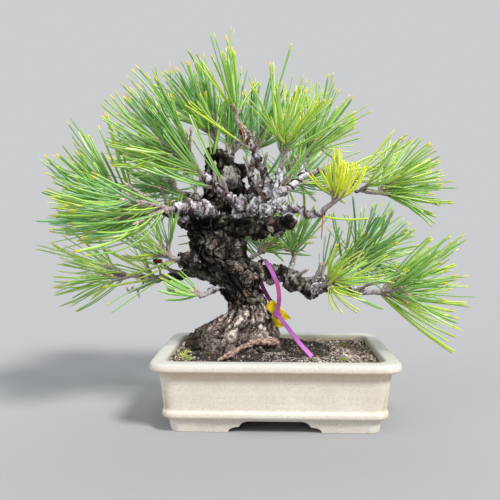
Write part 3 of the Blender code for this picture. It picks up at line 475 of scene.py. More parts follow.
@contextlib.contextmanager
def edited(mesh):
    """A mesh opened for editing, which then keeps the changes."""
    shape = bmesh.new()
    shape.from_mesh(mesh)
    yield shape
    shape.to_mesh(mesh)
    shape.free()


def face_out(mesh):
    """Turns a mesh's faces to point out of it."""
    with edited(mesh) as shape:
        bmesh.ops.recalc_face_normals(shape, faces=shape.faces)


def hold(mesh, name, values):
    """Keeps a number for each vertex, which a finish reads by its name."""
    held = mesh.attributes.new(name, "FLOAT", "POINT")
    held.data.foreach_set("value", np.clip(values, 0, 1).astype(np.float32))


def dress(mesh, finish):
    """Gives a mesh one finish all over."""
    mesh.materials.clear()
    mesh.materials.append(FINISHES[finish])


def finished_mesh(thing, name):
    """The mesh that an object's modifiers give."""
    bpy.context.view_layer.update()
    graph = bpy.context.evaluated_depsgraph_get()
    mesh = bpy.data.meshes.new_from_object(thing.evaluated_get(graph))
    mesh.name = name
    return mesh


def vertex_array(mesh, field="co"):
    """A mesh's places or normals as an (n, 3) array."""
    flat = np.zeros(len(mesh.vertices) * 3, np.float32)
    mesh.vertices.foreach_get(field, flat)
    return flat.reshape(-1, 3).astype(float)


def smooth_route(points, step):
    """Rows at about equal steps on a smooth curve through the rows."""
    rows = [np.array(point, float) for point in points]
    ends = [rows[0] * 2 - rows[1]] + rows + [rows[-1] * 2 - rows[-2]]
    route = []
    for before, start, end, after in zip(ends, ends[1:], ends[2:], ends[3:]):
        count = max(1, round(float(np.linalg.norm(end - start)) / step))
        for part in range(count):
            t = part / count
            route.append(0.5 * (2 * start + (end - before) * t
                                + (2 * before - 5 * start + 4 * end - after) * t ** 2
                                + (3 * start - before - 3 * end + after) * t ** 3))
    route.append(rows[-1])
    return route


# Finishes

class Finish:
    """A node material on its way. Sizes are in millimetres."""

    def __init__(self, name, roughness=0.8, **values):
        self.material = bpy.data.materials.new(name)
        self.material.use_nodes = True
        self.tree = self.material.node_tree
        self.shader = self.tree.nodes["Principled BSDF"]
        self.set(Roughness=roughness, **values)
        places = self.add("ShaderNodeTexCoord", "Object")
        self.places = self.add("ShaderNodeVectorMath", "Vector", {"operation": "SCALE"},
                               Vector=places, Scale=1 / METRES)

    def add(self, kind, output, settings=None, **inputs):
        """Adds a node and gives back one of its outputs."""
        made = self.tree.nodes.new(kind)
        for key, value in (settings or {}).items():
            setattr(made, key, value)
        self.fill(made, inputs)
        return made.outputs[output]

    def fill(self, node, inputs):
        """Sets or links a node's inputs."""
        for key, value in inputs.items():
            socket = node.inputs[key.replace("_", " ")]
            if isinstance(value, bpy.types.NodeSocket):
                self.tree.links.new(value, socket)
            else:
                socket.default_value = value

    def set(self, **values):
        """Sets or links the shader's inputs."""
        self.fill(self.shader, values)

    def noise(self, size, detail=3.0, roughness=0.55, places=None):
        """Noise from 0 to 1 with lumps of this size."""
        return self.add("ShaderNodeTexNoise", "Fac", Vector=places or self.places, Scale=1 / size,
                        Detail=detail, Roughness=roughness)

    def cells(self, size, output="Distance"):
        """Cells of this size."""
        return self.add("ShaderNodeTexVoronoi", output, Vector=self.places, Scale=1 / size)

    def stretched(self, *factors):
        """The places multiplied along each axis."""
        node = self.tree.nodes.new("ShaderNodeVectorMath")
        node.operation = "MULTIPLY"
        self.tree.links.new(self.places, node.inputs[0])
        node.inputs[1].default_value = factors
        return node.outputs[0]

    def scaled(self, value, low, high, to_low=0.0, to_high=1.0):
        """A value carried from one range to another, and held there."""
        return self.add("ShaderNodeMapRange", "Result", {"interpolation_type": "SMOOTHSTEP"}, Value=value,
                        From_Min=low, From_Max=high, To_Min=to_low, To_Max=to_high)

    def math(self, operation, first, second=0.0):
        """Two values worked into one."""
        node = self.tree.nodes.new("ShaderNodeMath")
        node.operation = operation
        for socket, value in zip(node.inputs, (first, second)):
            if isinstance(value, bpy.types.NodeSocket):
                self.tree.links.new(value, socket)
            else:
                socket.default_value = value
        return node.outputs[0]

    def times(self, first, second):
        """The product of two values."""
        return self.math("MULTIPLY", first, second)

    def ramp(self, value, *stops):
        """Colours dealt out along a value: the place, red, green and blue of each stop."""
        node = self.tree.nodes.new("ShaderNodeValToRGB")
        self.tree.links.new(value, node.inputs["Fac"])
        colours = node.color_ramp.elements
        while len(colours) < len(stops):
            colours.new(0.5)
        for element, (place, *colour) in zip(colours, stops):
            element.position = place
            element.color = (*colour, 1.0)
        return node.outputs["Color"]

    def mix(self, share, first, second):
        """Two colours in one."""
        first, second = ((*end, 1.0) if isinstance(end, tuple) else end for end in (first, second))
        return self.add("ShaderNodeMixRGB", "Color", Fac=share, Color1=first, Color2=second)

    def bump(self, height, depth, under=None):
        """The surface raised by a height of this depth."""
        inputs = {"Height": height, "Distance": depth * METRES, "Strength": 1.0}
        if under is not None:
            inputs["Normal"] = under
        return self.add("ShaderNodeBump", "Normal", **inputs)

    def position(self, axis):
        """How far along one axis a place lies."""
        split = self.tree.nodes.new("ShaderNodeSeparateXYZ")
        self.tree.links.new(self.places, split.inputs[0])
        return split.outputs[axis]

    def mask(self, name):
        """A number that the mesh holds for each vertex."""
        return self.add("ShaderNodeAttribute", "Fac", {"attribute_name": name})


def plain_finish(name, colour, roughness=0.45, **values):
    """A material of one plain colour, for needles and grains that are dealt out by colour."""
    made = Finish(name, roughness, Base_Color=(*colour, 1.0), **values)
    return made.material


def pot_finish():
    """Matte cream stoneware with fine dark specks and a stained inside, with painted highlights on its sharp
    edges, its lip's top greyed as painted shade, and a warm band below the lip that is partly stain and
    partly painted shade.
    """
    made = Finish("stoneware", 0.6)
    clay = made.ramp(made.noise(26, 2.0), (0.3, 0.665, 0.610, 0.520), (0.7, 0.735, 0.690, 0.605))
    grainy = made.mix(0.5, clay, (0.50, 0.44, 0.345))
    clay = made.mix(made.scaled(made.noise(1.1, 3.0, 0.6), 0.44, 0.70), clay, grainy)
    for size, share, reach, dark in ((1.05, 0.50, 0.34, 0.50), (0.62, 0.45, 0.38, 0.42)):
        spot = made.scaled(made.cells(size), reach * 0.5, reach, 1.0, 0.0)
        chosen = made.scaled(made.cells(size, "Color"), share, share + 0.05)
        speck = made.times(made.times(spot, chosen), dark)
        clay = made.mix(speck, clay, (0.21, 0.175, 0.135))
    stain = made.ramp(made.noise(4.0, 4.0, 0.6), (0.35, 0.36, 0.29, 0.17), (0.65, 0.64, 0.57, 0.41))
    clay = made.mix(made.times(made.mask("inside"), 0.75), clay, stain)
    # Painted highlight: the sharp edges, found by pointiness, are lightened towards pale cream
    edge = made.scaled(made.add("ShaderNodeNewGeometry", "Pointiness"), 0.51, 0.56)
    clay = made.mix(made.times(edge, 0.35), clay, (0.82, 0.79, 0.73))
    # Painted shade: the top of the lip, above 53.6 mm, is mixed towards a cool grey
    rim = made.times(made.scaled(made.position("Z"), 53.6, 58.6), 0.72)
    clay = made.mix(rim, clay, (0.47, 0.495, 0.475))
    # A warm brown-pink band just below the lip, partly staining and partly painted shade under the lip's
    # overhang
    below_lip = made.times(made.scaled(made.position("Z"), 40.0, 50.0),
                          made.scaled(made.position("Z"), 53.4, 52.2))
    stain_and_shade_under_lip = made.times(below_lip, made.scaled(made.noise(5.0, 4.0, 0.6), 0.35, 0.62, 0.35, 0.95))
    clay = made.mix(stain_and_shade_under_lip, clay, (0.70, 0.50, 0.37))
    made.set(Base_Color=clay, Roughness=made.scaled(made.noise(3.0, 3.0), 0.3, 0.7, 0.5, 0.68))
    grain = made.bump(made.noise(0.9, 3.0), 0.10)
    made.set(Normal=made.bump(made.noise(9, 2.0), 0.35, grain))
    return made.material


def bark_finish():
    """Black pine bark: near black in its cracks, partly as painted shade, plates of greys and browns, pale
    where it is young, with painted light and shade in its tone: lighter where it stands out and on the tops
    of young limbs, darker where it lies low and towards the left.
    """
    made = Finish("bark", 0.85, Specular_IOR_Level=0.15)
    fine = made.noise(1.6, 4.0, 0.62)
    streaks = made.noise(1.5, 3.0, 0.6, made.stretched(1.1, 1.1, 0.22))
    broad = made.noise(8, 3.0)
    grain = made.math("ADD", made.times(fine, 0.62), made.times(streaks, 0.26))
    tone = made.math("SUBTRACT", made.math("ADD", made.times(made.mask("tone"), 0.80), grain), 0.20)
    black = made.ramp(tone, (0.34, 0.008, 0.007, 0.006), (0.52, 0.026, 0.023, 0.020),
                      (0.66, 0.072, 0.064, 0.054), (0.80, 0.165, 0.148, 0.128), (0.97, 0.36, 0.33, 0.295))
    brown = made.ramp(tone, (0.34, 0.012, 0.008, 0.006), (0.52, 0.045, 0.030, 0.023),
                      (0.66, 0.115, 0.076, 0.058), (0.80, 0.235, 0.160, 0.124), (0.97, 0.42, 0.31, 0.25))
    old = made.mix(made.scaled(broad, 0.53, 0.66), black, brown)
    tan = made.ramp(tone, (0.30, 0.022, 0.016, 0.013), (0.46, 0.095, 0.068, 0.057),
                    (0.62, 0.28, 0.207, 0.175), (0.76, 0.53, 0.425, 0.370), (0.90, 0.78, 0.675, 0.61))
    pale = made.ramp(tone, (0.34, 0.022, 0.014, 0.014), (0.49, 0.110, 0.082, 0.084),
                     (0.62, 0.29, 0.250, 0.275), (0.76, 0.53, 0.50, 0.565), (0.93, 0.78, 0.78, 0.85))
    earth = made.ramp(made.noise(1.3, 5.0, 0.70), (0.36, 0.014, 0.011, 0.010), (0.46, 0.085, 0.067, 0.056),
                      (0.55, 0.25, 0.202, 0.174), (0.64, 0.50, 0.425, 0.380), (0.78, 0.74, 0.66, 0.60))
    moss = made.ramp(made.noise(1.5, 5.0, 0.65), (0.34, 0.010, 0.009, 0.006), (0.52, 0.036, 0.032, 0.020),
                     (0.66, 0.080, 0.072, 0.040), (0.82, 0.15, 0.16, 0.065))
    flank = made.scaled(made.position("X"), MOSSY_FLANK + 8, MOSSY_FLANK - 4)
    dead = made.ramp(made.noise(1.8, 4.0, 0.62, made.stretched(1.3, 1.3, 0.30)), (0.32, 0.10, 0.088, 0.078),
                     (0.48, 0.36, 0.335, 0.31), (0.62, 0.60, 0.575, 0.55), (0.80, 0.78, 0.76, 0.74))
    rosy = made.ramp(made.noise(2.0, 4.0, 0.66, made.stretched(0.6, 1.2, 1.2)), (0.34, 0.060, 0.034, 0.026),
                     (0.46, 0.28, 0.170, 0.132), (0.57, 0.55, 0.375, 0.310), (0.72, 0.80, 0.655, 0.590))
    tan = made.mix(made.mask("rosy"), tan, rosy)
    colour = made.mix(made.mask("tan"), old, tan)
    colour = made.mix(made.mask("pale"), colour, pale)
    colour = made.mix(made.mask("moss"), colour, made.mix(flank, earth, moss))
    colour = made.mix(made.mask("dead"), colour, dead)
    # The cracks and the hollow go near black: partly the bark's own dark and partly painted shade in these
    # recesses
    crack = made.times(made.mask("crack_and_shade"), 0.93)
    colour = made.mix(crack, colour, made.mix(0.10, (0.004, 0.0035, 0.003), colour))
    made.set(Base_Color=colour, Roughness=made.scaled(fine, 0.3, 0.7, 0.70, 0.95))
    made.set(Normal=made.bump(streaks, 0.45, made.bump(fine, 0.55)))
    return made.material


def wood_finish(name, dark, middle, light, size):
    """Rough young bark or dry wood in three tones."""
    made = Finish(name, 0.85)
    value = made.noise(size, 4.0, 0.6)
    made.set(Base_Color=made.ramp(value, (0.30, *dark), (0.52, *middle), (0.74, *light)))
    made.set(Normal=made.bump(made.noise(0.6, 3.0), 0.25))
    return made.material


def soil_finish():
    """Dark crumbly soil, partly darkened as painted shade between the grains on it."""
    made = Finish("soil", 0.95)
    value = made.noise(1.8, 5.0, 0.65)
    colour = made.ramp(value, (0.30, 0.011, 0.009, 0.008), (0.52, 0.036, 0.028, 0.023),
                       (0.72, 0.10, 0.076, 0.062))
    made.set(Base_Color=colour, Normal=made.bump(made.noise(0.9, 4.0, 0.7), 0.8))
    return made.material


def strap_finish():
    """Glossy magenta plastic with painted light and shade along it: lilac where the loop's top and its end
    are lit, darker magenta between, and a lighter back where the loop lies in shade.
    """
    made = Finish("strap_plastic", 0.3, IOR=1.5)
    height = made.scaled(made.position("Z"), 60, 140)
    # Painted light and shade along the strap's height: lilac where it is lit, darker magenta between
    front = made.ramp(height, (0.0, 0.60, 0.17, 0.62), (0.07, 0.46, 0.115, 0.47), (0.20, 0.30, 0.055, 0.29),
                      (0.34, 0.27, 0.045, 0.25), (0.50, 0.23, 0.020, 0.135), (0.76, 0.42, 0.035, 0.165),
                      (0.88, 0.42, 0.10, 0.41), (1.0, 0.30, 0.085, 0.33))
    # Painted light: the loop's back, which lies in shade, is given a lighter magenta
    back = made.mix(made.scaled(made.position("Y"), -6, 4), front, (0.50, 0.045, 0.36))
    colour = made.mix(made.scaled(made.noise(3.5), 0.3, 0.7, 0.0, 0.18), back, (0.60, 0.22, 0.54))
    made.set(Base_Color=colour, Roughness=made.scaled(made.noise(2.0), 0.3, 0.7, 0.24, 0.38))
    made.set(Normal=made.bump(made.noise(1.4, 2.0), 0.06))
    return made.material


def tag_finish():
    """Glossy golden yellow film."""
    made = Finish("tag_film", 0.28, IOR=1.35)
    value = made.noise(6.0, 3.0)
    colour = made.ramp(value, (0.30, 0.42, 0.27, 0.003), (0.50, 0.62, 0.45, 0.005), (0.72, 0.72, 0.57, 0.02))
    made.set(Base_Color=colour, Roughness=made.scaled(value, 0.3, 0.7, 0.22, 0.36))
    made.set(Normal=made.bump(made.noise(4.5, 2.0), 0.25))
    return made.material


def wire_finish():
    """Brown anodised aluminium wire, dulled."""
    made = Finish("training_wire", 0.5, Metallic=0.35)
    value = made.noise(2.0, 3.0)
    made.set(Base_Color=made.ramp(value, (0.3, 0.036, 0.015, 0.014), (0.55, 0.095, 0.042, 0.038),
                                  (0.75, 0.19, 0.105, 0.098)))
    made.set(Roughness=made.scaled(value, 0.3, 0.7, 0.42, 0.6))
    made.set(Normal=made.bump(made.noise(0.8), 0.05))
    return made.material


# Young bark and dry wood: the name of its material, its dark, middle and light tone, and the size of
# its mottling
WOODS = {
    "twig": ("twig", (0.12, 0.085, 0.078), (0.34, 0.285, 0.28), (0.60, 0.55, 0.55), 1.2),
    "scale": ("twig_scale", (0.18, 0.12, 0.105), (0.40, 0.33, 0.315), (0.64, 0.59, 0.58), 1.2),
    "bud": ("bud", (0.34, 0.20, 0.12), (0.58, 0.42, 0.32), (0.78, 0.68, 0.60), 1.2),
    "dead_wood": ("dead_wood", (0.16, 0.14, 0.13), (0.38, 0.35, 0.34), (0.60, 0.58, 0.57), 1.2),
    "leaf": ("dry_leaf", (0.10, 0.012, 0.010), (0.24, 0.035, 0.022), (0.42, 0.11, 0.06), 2.5),
}
GRAIN_TONES = {
    "tan": (0.42, 0.335, 0.270),
    "buff": (0.58, 0.49, 0.435),
    "brown": (0.20, 0.148, 0.120),
    "red_brown": (0.27, 0.155, 0.120),
    "dark": (0.032, 0.026, 0.023),
    "earth": (0.10, 0.078, 0.065),
    "grey": (0.27, 0.262, 0.258),
    "white": (0.78, 0.76, 0.73),
}
MOSS_TONES = {
    "moss_green": (0.20, 0.27, 0.05),
    "moss_yellow": (0.42, 0.42, 0.09),
    "moss_dark": (0.05, 0.06, 0.025),
}
FINISHES = {}


def make_finishes():
    """Every finish by name."""
    for name, (green, line) in NEEDLE_TONES.items():
        FINISHES[name] = plain_finish("needle_" + name, green, 0.42)
        FINISHES[name + "_line"] = plain_finish("needle_" + name + "_line", line, 0.5)
    for prefix, tones, roughness in (("needle_", NEEDLE_ENDS, 0.5), ("grain_", GRAIN_TONES, 0.9),
                                     ("moss_", MOSS_TONES, 0.9)):
        for name, colour in tones.items():
            FINISHES[name] = plain_finish(prefix + name, colour, roughness)
    for name, wood in WOODS.items():
        FINISHES[name] = wood_finish(*wood)
    for name, make in (("bark", bark_finish), ("pot", pot_finish), ("soil", soil_finish),
                       ("strap", strap_finish), ("tag", tag_finish), ("wire", wire_finish)):
        FINISHES[name] = make()


# The pot and the soil

def rounded_rectangle(half_x, half_y, corner, z, steps, centre=(0.0, 0.0)):
    """A level ring of points with arcs for corners, anticlockwise from the +X side."""
    ring = []
    for quarter, (side_x, side_y) in enumerate(((1, 1), (-1, 1), (-1, -1), (1, -1))):
        for step in range(steps + 1):
            angle = math.radians(90) * (quarter + step / steps)
            ring.append((centre[0] + side_x * (half_x - corner) + corner * math.cos(angle),
                         centre[1] + side_y * (half_y - corner) + corner * math.sin(angle), z))
    return np.array(ring)


def pot_ring(inset, z, steps=10):
    """A ring of the pot at an inset from the lip's outer edge."""
    corner = max(POT_CORNER - 0.4 * inset, 6)
    return rounded_rectangle(POT_LENGTH / 2 - inset, POT_DEPTH / 2 - inset, corner, z, steps)


def softened(profile, rounds):
    """An open line with its corners cut, again and again."""
    for _ in range(rounds):
        cut = [profile[0]]
        for start, end in zip(profile, profile[1:]):
            start, end = np.array(start), np.array(end)
            cut += [start * 0.75 + end * 0.25, start * 0.25 + end * 0.75]
        profile = cut + [profile[-1]]
    return profile


def ring_mesh(name, rings, closed=False):
    """A mesh skinned over rings of equal count, with its faces pointing out."""
    vertices, faces = skin(rings, closed)
    mesh = bpy.data.meshes.new(name)
    mesh.from_pydata((vertices * METRES).tolist(), [], faces)
    face_out(mesh)
    return mesh


def arch_mesh(name, half_width, along_y):
    """A bar with the outline of the arch between two feet, run right under the pot."""
    half = softened([(half_width - inner, height) for inner, height in FOOT_ARCH], 2)
    outline = [tuple(point) for point in half] + [(-point[0], point[1]) for point in reversed(half)]
    rings = []
    for reach in (-POT_LENGTH, POT_LENGTH):
        rings.append(np.array([(x, reach, z) if along_y else (reach, x, z) for x, z in outline]))
    return ring_mesh(name, rings)


def keep_modifiers(thing):
    """Puts the mesh that an object's modifiers give in place of its own."""
    mesh = finished_mesh(thing, thing.name)
    thing.modifiers.clear()
    thing.data = mesh


def with_booleans(thing, steps):
    """Cuts or joins the object with each (operation, other), and keeps the result."""
    for operation, other in steps:
        boolean = thing.modifiers.new(operation, "BOOLEAN")
        boolean.operation = operation
        boolean.solver = "EXACT"
        boolean.object = other
    keep_modifiers(thing)
    for _, other in steps:
        discard(other)


def rounded_edges(thing, width, segments, limit):
    """Rounds the object's edges sharper than the limit in degrees, and keeps the result."""
    bevel = thing.modifiers.new("edges", "BEVEL")
    bevel.width = width * METRES
    bevel.segments = segments
    bevel.limit_method = "ANGLE"
    bevel.angle_limit = math.radians(limit)
    keep_modifiers(thing)


def smooth_below(mesh, degrees):
    """Shades a mesh smooth, apart from edges sharper than this."""
    with edited(mesh) as shape:
        for face in shape.faces:
            face.smooth = True
        for edge in shape.edges:
            edge.smooth = len(edge.link_faces) != 2 or edge.calc_face_angle(0.0) < math.radians(degrees)


def build_pot():
    """The pot with its lip, belt, bracket feet and drain holes."""
    profile = softened([np.array(point) for point in POT_OUTSIDE + POT_INSIDE], 2)
    pot = new_object("pot_body", ring_mesh("pot_body", [pot_ring(inset, z) for inset, z in profile]))
    foot_rings = [
        pot_ring(FOOT_INSET + FOOT_TAPER, 0.0),
        pot_ring(FOOT_INSET, FOOT_TOP),
        pot_ring(FOOT_INSET + FOOT_WALL, FOOT_TOP),
        pot_ring(FOOT_INSET + FOOT_WALL, 0.0),
    ]
    feet = new_object("feet", ring_mesh("feet", foot_rings, closed=True))
    arches = [new_object("arch", arch_mesh("arch", ARCH_HALF_LENGTH, True)),
              new_object("arch", arch_mesh("arch", ARCH_HALF_DEPTH, False))]
    with_booleans(feet, [("DIFFERENCE", arch) for arch in arches])
    rounded_edges(feet, 0.9, 3, 50)
    holes = []
    for side in (-1, 1):
        bpy.ops.mesh.primitive_cylinder_add(
            vertices=40, radius=DRAIN_HOLE / 2 * METRES, depth=30 * METRES,
            location=(side * DRAIN_SPACING / 2 * METRES, 0, 12 * METRES))
        holes.append(bpy.context.object)
    with_booleans(pot, [("UNION", feet)] + [("DIFFERENCE", hole) for hole in holes])
    mesh = pot.data
    discard(pot)
    smooth_below(mesh, 38)
    places = np.abs(vertex_array(mesh) / METRES)
    inset = np.minimum(POT_LENGTH / 2 - places[:, 0], POT_DEPTH / 2 - places[:, 1])
    inside = ease(inset, 11.9, 12.9) * ease(places[:, 2], 14.0, 16.0) * (1 - ease(places[:, 2], 56.5, 58.5))
    hold(mesh, "inside", inside)
    dress(mesh, "pot")
    add_piece("stoneware_pot", mesh, ["pot"])


def even_ring(half_x, half_y, corner, z, centre, count):
    """A rounded rectangle as points at even steps along it."""
    ring = rounded_rectangle(half_x, half_y, corner, z, 12, centre)
    ring = np.vstack([ring, ring[:1]])
    along = np.concatenate([[0], np.cumsum(np.linalg.norm(np.diff(ring, axis=0), axis=1))])
    wanted = np.linspace(0, along[-1], count, endpoint=False)
    return np.stack([np.interp(wanted, along, ring[:, axis]) for axis in range(3)], axis=1)


SOIL_SIDES = 200
SOIL_RINGS = 46
GRAVEL_DEPTH = 0.6


def mound(x, y):
    """How far the gravel lies above or below its even slope, as in the source."""
    humps = np.sin(x / 7.3 + np.sin(y / 11)) * np.sin(y / 6.1 + 0.8)
    return 0.9 * humps + 0.5 * np.sin((x - y) / 9.7)


def build_soil():
    """The soil's crumbly body, and a tree for finding its surface."""
    inset = POT_INSIDE[0][0] + 0.45
    corner = max(POT_CORNER - 0.4 * inset, 6)
    half_x, half_y = POT_LENGTH / 2 - inset, POT_DEPTH / 2 - inset
    edge = even_ring(half_x, half_y, corner, SOIL_EDGE, (0, 0), SOIL_SIDES)
    top = even_ring(*SOIL_TOP_HALF, SOIL_TOP_CORNER, SOIL_TOP, SOIL_TOP_CENTRE, SOIL_SIDES)
    middle = np.array((*SOIL_TOP_CENTRE, SOIL_TOP))
    rings = [even_ring(POT_LENGTH / 2 - 18.5, POT_DEPTH / 2 - 18.5, 8, 14.8, (0, 0), SOIL_SIDES),
             even_ring(half_x - 2.4, half_y - 2.4, corner, 16.8, (0, 0), SOIL_SIDES),
             even_ring(half_x - 0.5, half_y - 0.5, corner, 30.3, (0, 0), SOIL_SIDES)]
    for step in range(SOIL_RINGS + 1):
        share = step / SOIL_RINGS
        ring = edge * (1 - share) + top * share
        humps = mound(ring[:, 0], ring[:, 1]) - GRAVEL_DEPTH
        crumbs = 0.4 * ease(share, 0.0, 0.15) * rough_noise(ring / 5, 3, 11)
        ring[:, 2] += (1 - ease(share, 0.8, 1.0)) * humps + crumbs
        ring[:, 2] += 0.3 * rough_noise(ring / 2.2, 2, 12)
        rings.append(ring)
    for share in (0.75, 0.5, 0.25):
        rings.append(middle + (top - middle) * share)
    mesh = ring_mesh("soil_bed", rings)
    smooth_below(mesh, 60)
    dress(mesh, "soil")
    add_piece("soil_bed", mesh, ["soil"])
    return BVHTree.FromPolygons([vertex.co / METRES for vertex in mesh.vertices],
                                [face.vertices[:] for face in mesh.polygons])


def on_ground(ground, x, y):
    """The height of the soil below a place, or None off it."""
    hit = ground.ray_cast(Vector((x, y, 200)), Vector((0, 0, -1)))[0]
    return hit.z if hit else None


# The gravel, the patch round the trunk where it is dark and thin (its middle, and how far it reaches to
# the left, to the right, and to the front and back), and its mix
GRAINS = 5600
GRAVEL_INSET = 14.2
PATCH_MIDDLE = (-20, -3)
PATCH_LEFT = 52
PATCH_RIGHT = 62
PATCH_DEEP = 54
GRAVEL_MIX = ("tan", "tan", "buff", "brown", "brown", "red_brown", "grey", "tan", "brown")
WHITE_SHARE = 0.02
# The crumbs of earth round the trunk: how many, the middle of their patch and how far it reaches
CRUMBS = 1900
CRUMB_MIDDLE = (-24, -5)
CRUMB_REACH = (62, 56)
CRUMB_TONES = ("dark",) * 9 + ("brown", "red_brown", "grey", "tan", "earth", "earth", "earth")
# The patches of moss: middle, spread and tone
MOSS_TUFTS = 420
MOSS_BLADES = 5
MOSS_PATCHES = (
    (-76, -38, 5, "moss_yellow"), (-72, -44, 4, "moss_green"), (-80, -30, 5, "moss_dark"),
    (-74, -4, 15, "moss_dark"), (-62, -34, 10, "moss_dark"), (24, -26, 16, "moss_dark"),
    (36, -34, 12, "moss_dark"), (20, 10, 14, "moss_dark"), (58, -38, 4, "moss_green"),
    (-60, 34, 12, "moss_dark"), (-20, 44, 10, "moss_green"), (66, 30, 5, "moss_green"))
ROOT_HAIRS = 70
HAIR_STEP = 2.2


def grain_tone(dark_share, chance):
    """The finish of one grain."""
    if chance.random() < dark_share:
        return "dark"
    name = chance.choice(GRAVEL_MIX)
    return "white" if chance.random() < WHITE_SHARE else name


def scatter_gravel(ground, chance):
    """Loose grains on the soil, finer and darker near the trunk, and crumbs of earth among them."""
    stones = [lump_shape(1, seed) for seed in range(6)] + [lump_shape(2, seed) for seed in range(3)]
    heap = Heap()
    half_x, half_y = POT_LENGTH / 2 - GRAVEL_INSET, POT_DEPTH / 2 - GRAVEL_INSET
    placed = 0
    while placed < GRAINS:
        x, y = chance.uniform(-half_x, half_x), chance.uniform(-half_y, half_y)
        patch = PATCH_RIGHT if x > PATCH_MIDDLE[0] else PATCH_LEFT
        away = math.hypot((x - PATCH_MIDDLE[0]) / patch, (y - PATCH_MIDDLE[1]) / PATCH_DEEP)
        if away < 0.62 or chance.random() > 0.15 + 0.85 * min(1.0, max(0.0, (away - 1.02) / 0.30)):
            continue
        size = chance.triangular(0.4, 1.6, 0.7) * (0.75 if away < 1.15 else 1.0)
        # Dark grains are dark earth near the trunk; out on the gravel they are partly painted shade in the
        # gaps between grains
        name = grain_tone(0.88 if away < 1.14 else 0.30, chance)
        vertices, faces = stones[chance.randrange(6) if size < 1.4 else chance.randrange(6, 9)]
        turn = Quaternion([chance.gauss(0, 1) for _ in range(4)])
        turn = np.array(turn.normalized().to_matrix())
        shape = (vertices * [size * chance.uniform(0.7, 1.2) for _ in range(3)]) @ turn.T
        height = on_ground(ground, x, y)
        if height is not None:
            heap.add(shape + (x, y, height + 0.35 * size), faces, name)
            placed += 1
    for _ in range(CRUMBS):
        turn, away = chance.uniform(0, 2 * math.pi), chance.triangular(0.5, 1.25, 0.8)
        x = CRUMB_MIDDLE[0] + CRUMB_REACH[0] * away * math.cos(turn)
        y = CRUMB_MIDDLE[1] + CRUMB_REACH[1] * away * math.sin(turn)
        size = chance.triangular(0.35, 1.7, 0.6)
        height = on_ground(ground, x, y)
        if height is None or abs(x) > half_x or abs(y) > half_y:
            continue
        vertices, faces = stones[chance.randrange(6)]
        shape = vertices * [size * chance.uniform(0.6, 1.3) for _ in range(3)]
        heap.add(shape + (x, y, height + 0.3 * size), faces, chance.choice(CRUMB_TONES))
    add_piece("gravel", heap.mesh("gravel", smooth=False))


def grow_moss(ground, chance):
    """Tufts of moss in patches."""
    heap = Heap()
    for count in range(MOSS_TUFTS):
        x, y, spread, name = MOSS_PATCHES[count % len(MOSS_PATCHES)]
        x += chance.gauss(0, spread * 0.5)
        y += chance.gauss(0, spread * 0.5)
        height = on_ground(ground, x, y)
        if height is None:
            continue
        for _ in range(MOSS_BLADES):
            place = np.array((x + chance.gauss(0, 0.8), y + chance.gauss(0, 0.8), height - 0.3))
            tip = place + (chance.gauss(0, 0.7), chance.gauss(0, 0.7), chance.uniform(1.0, 2.4))
            heap.add_tube([place, (place * 2 + tip) / 3, tip], (0.5, 0.4, 0.1), 4, name)
    add_piece("moss", heap.mesh("moss"))


def lay_root_hairs(ground, chance):
    """Fine dry roots that lie on the soil in front."""
    heap = Heap()
    for _ in range(ROOT_HAIRS):
        x, y = chance.uniform(-10, 44), chance.uniform(-60, -40)
        heading = chance.uniform(0, 2 * math.pi)
        route = []
        for _ in range(7):
            height = on_ground(ground, x, y)
            if height is None:
                break
            route.append((x, y, height + chance.uniform(0.2, 1.1)))
            heading += chance.gauss(0, 0.5)
            x += HAIR_STEP * math.cos(heading)
            y += HAIR_STEP * math.sin(heading)
        if len(route) > 3:
            radius = chance.uniform(0.18, 0.4)
            heap.add_tube(route, np.linspace(radius, radius * 0.5, len(route)), 5,
                          chance.choice(("scale", "twig")))
    add_piece("root_hairs", heap.mesh("root_hairs"))


# The trunk and the boughs

def bark_lift(angle, z):
    """How far the old bark stands out, as in the source: ridges that wander up the trunk, and burrs."""
    wander = angle + 0.30 * math.sin(z / 13)
    ridges = np.sin(9 * wander + 0.10 * z) * (0.6 + 0.4 * np.sin(z / 7 + 3 * angle))
    burrs = np.sin(5 * angle - z / 6.5 + 1) * np.sin(z / 9 + 2 * angle)
    return 1.1 * ridges + 1.2 * burrs


def fork_share(angle, z):
    """1 on the backs of the two front ridges at an angle in degrees, falling to 0 beside them."""
    heights, left, right, width = np.array(FORK).T
    sides = [np.exp(-((angle - np.interp(z, heights, side)) / np.interp(z, heights, width)) ** 2)
             for side in (left, right)]
    return np.maximum(*sides) * (z < heights[-1])


def fork_fade(z):
    """1 on the flare, falling to 0 up the neck."""
    return np.clip((FORK_FADE[1] - z) / (FORK_FADE[1] - FORK_FADE[0]), 0, 1)


def trunk_ring(row, sides):
    """A level ring of the trunk: round, rough with bark and pushed out by the roots below."""
    z, x, y, radius = row
    angle = round_angles(sides)
    reach = radius + bark_lift(angle, z) * min(1, radius / OLD_BARK_RADIUS)
    reach = reach + fork_fade(z) * (FORK_HEIGHT * fork_share(np.degrees(angle), z) - FORK_DEPTH)
    for direction, width, length, top, blunt in ROOTS:
        rise = max(0.0, (z - TRUNK[0][0]) / (top - TRUNK[0][0]))
        if rise < 1:
            away = (np.degrees(angle) - direction + 180) % 360 - 180
            reach = reach + length * (1 - rise ** blunt) * np.exp(-(away / width) ** 2)
    return np.stack([x + reach * np.cos(angle), y + reach * np.sin(angle), np.full(sides, z)], axis=1)


def limb_course(name, step):
    """The places along a limb and its radius at each, as in the source."""
    _, foot, tip, taper, points = LIMBS[name]
    route = np.array(smooth_route(points, step))
    shares = np.linspace(0, 1, len(route))
    return route, foot + (tip - foot) * shares ** taper


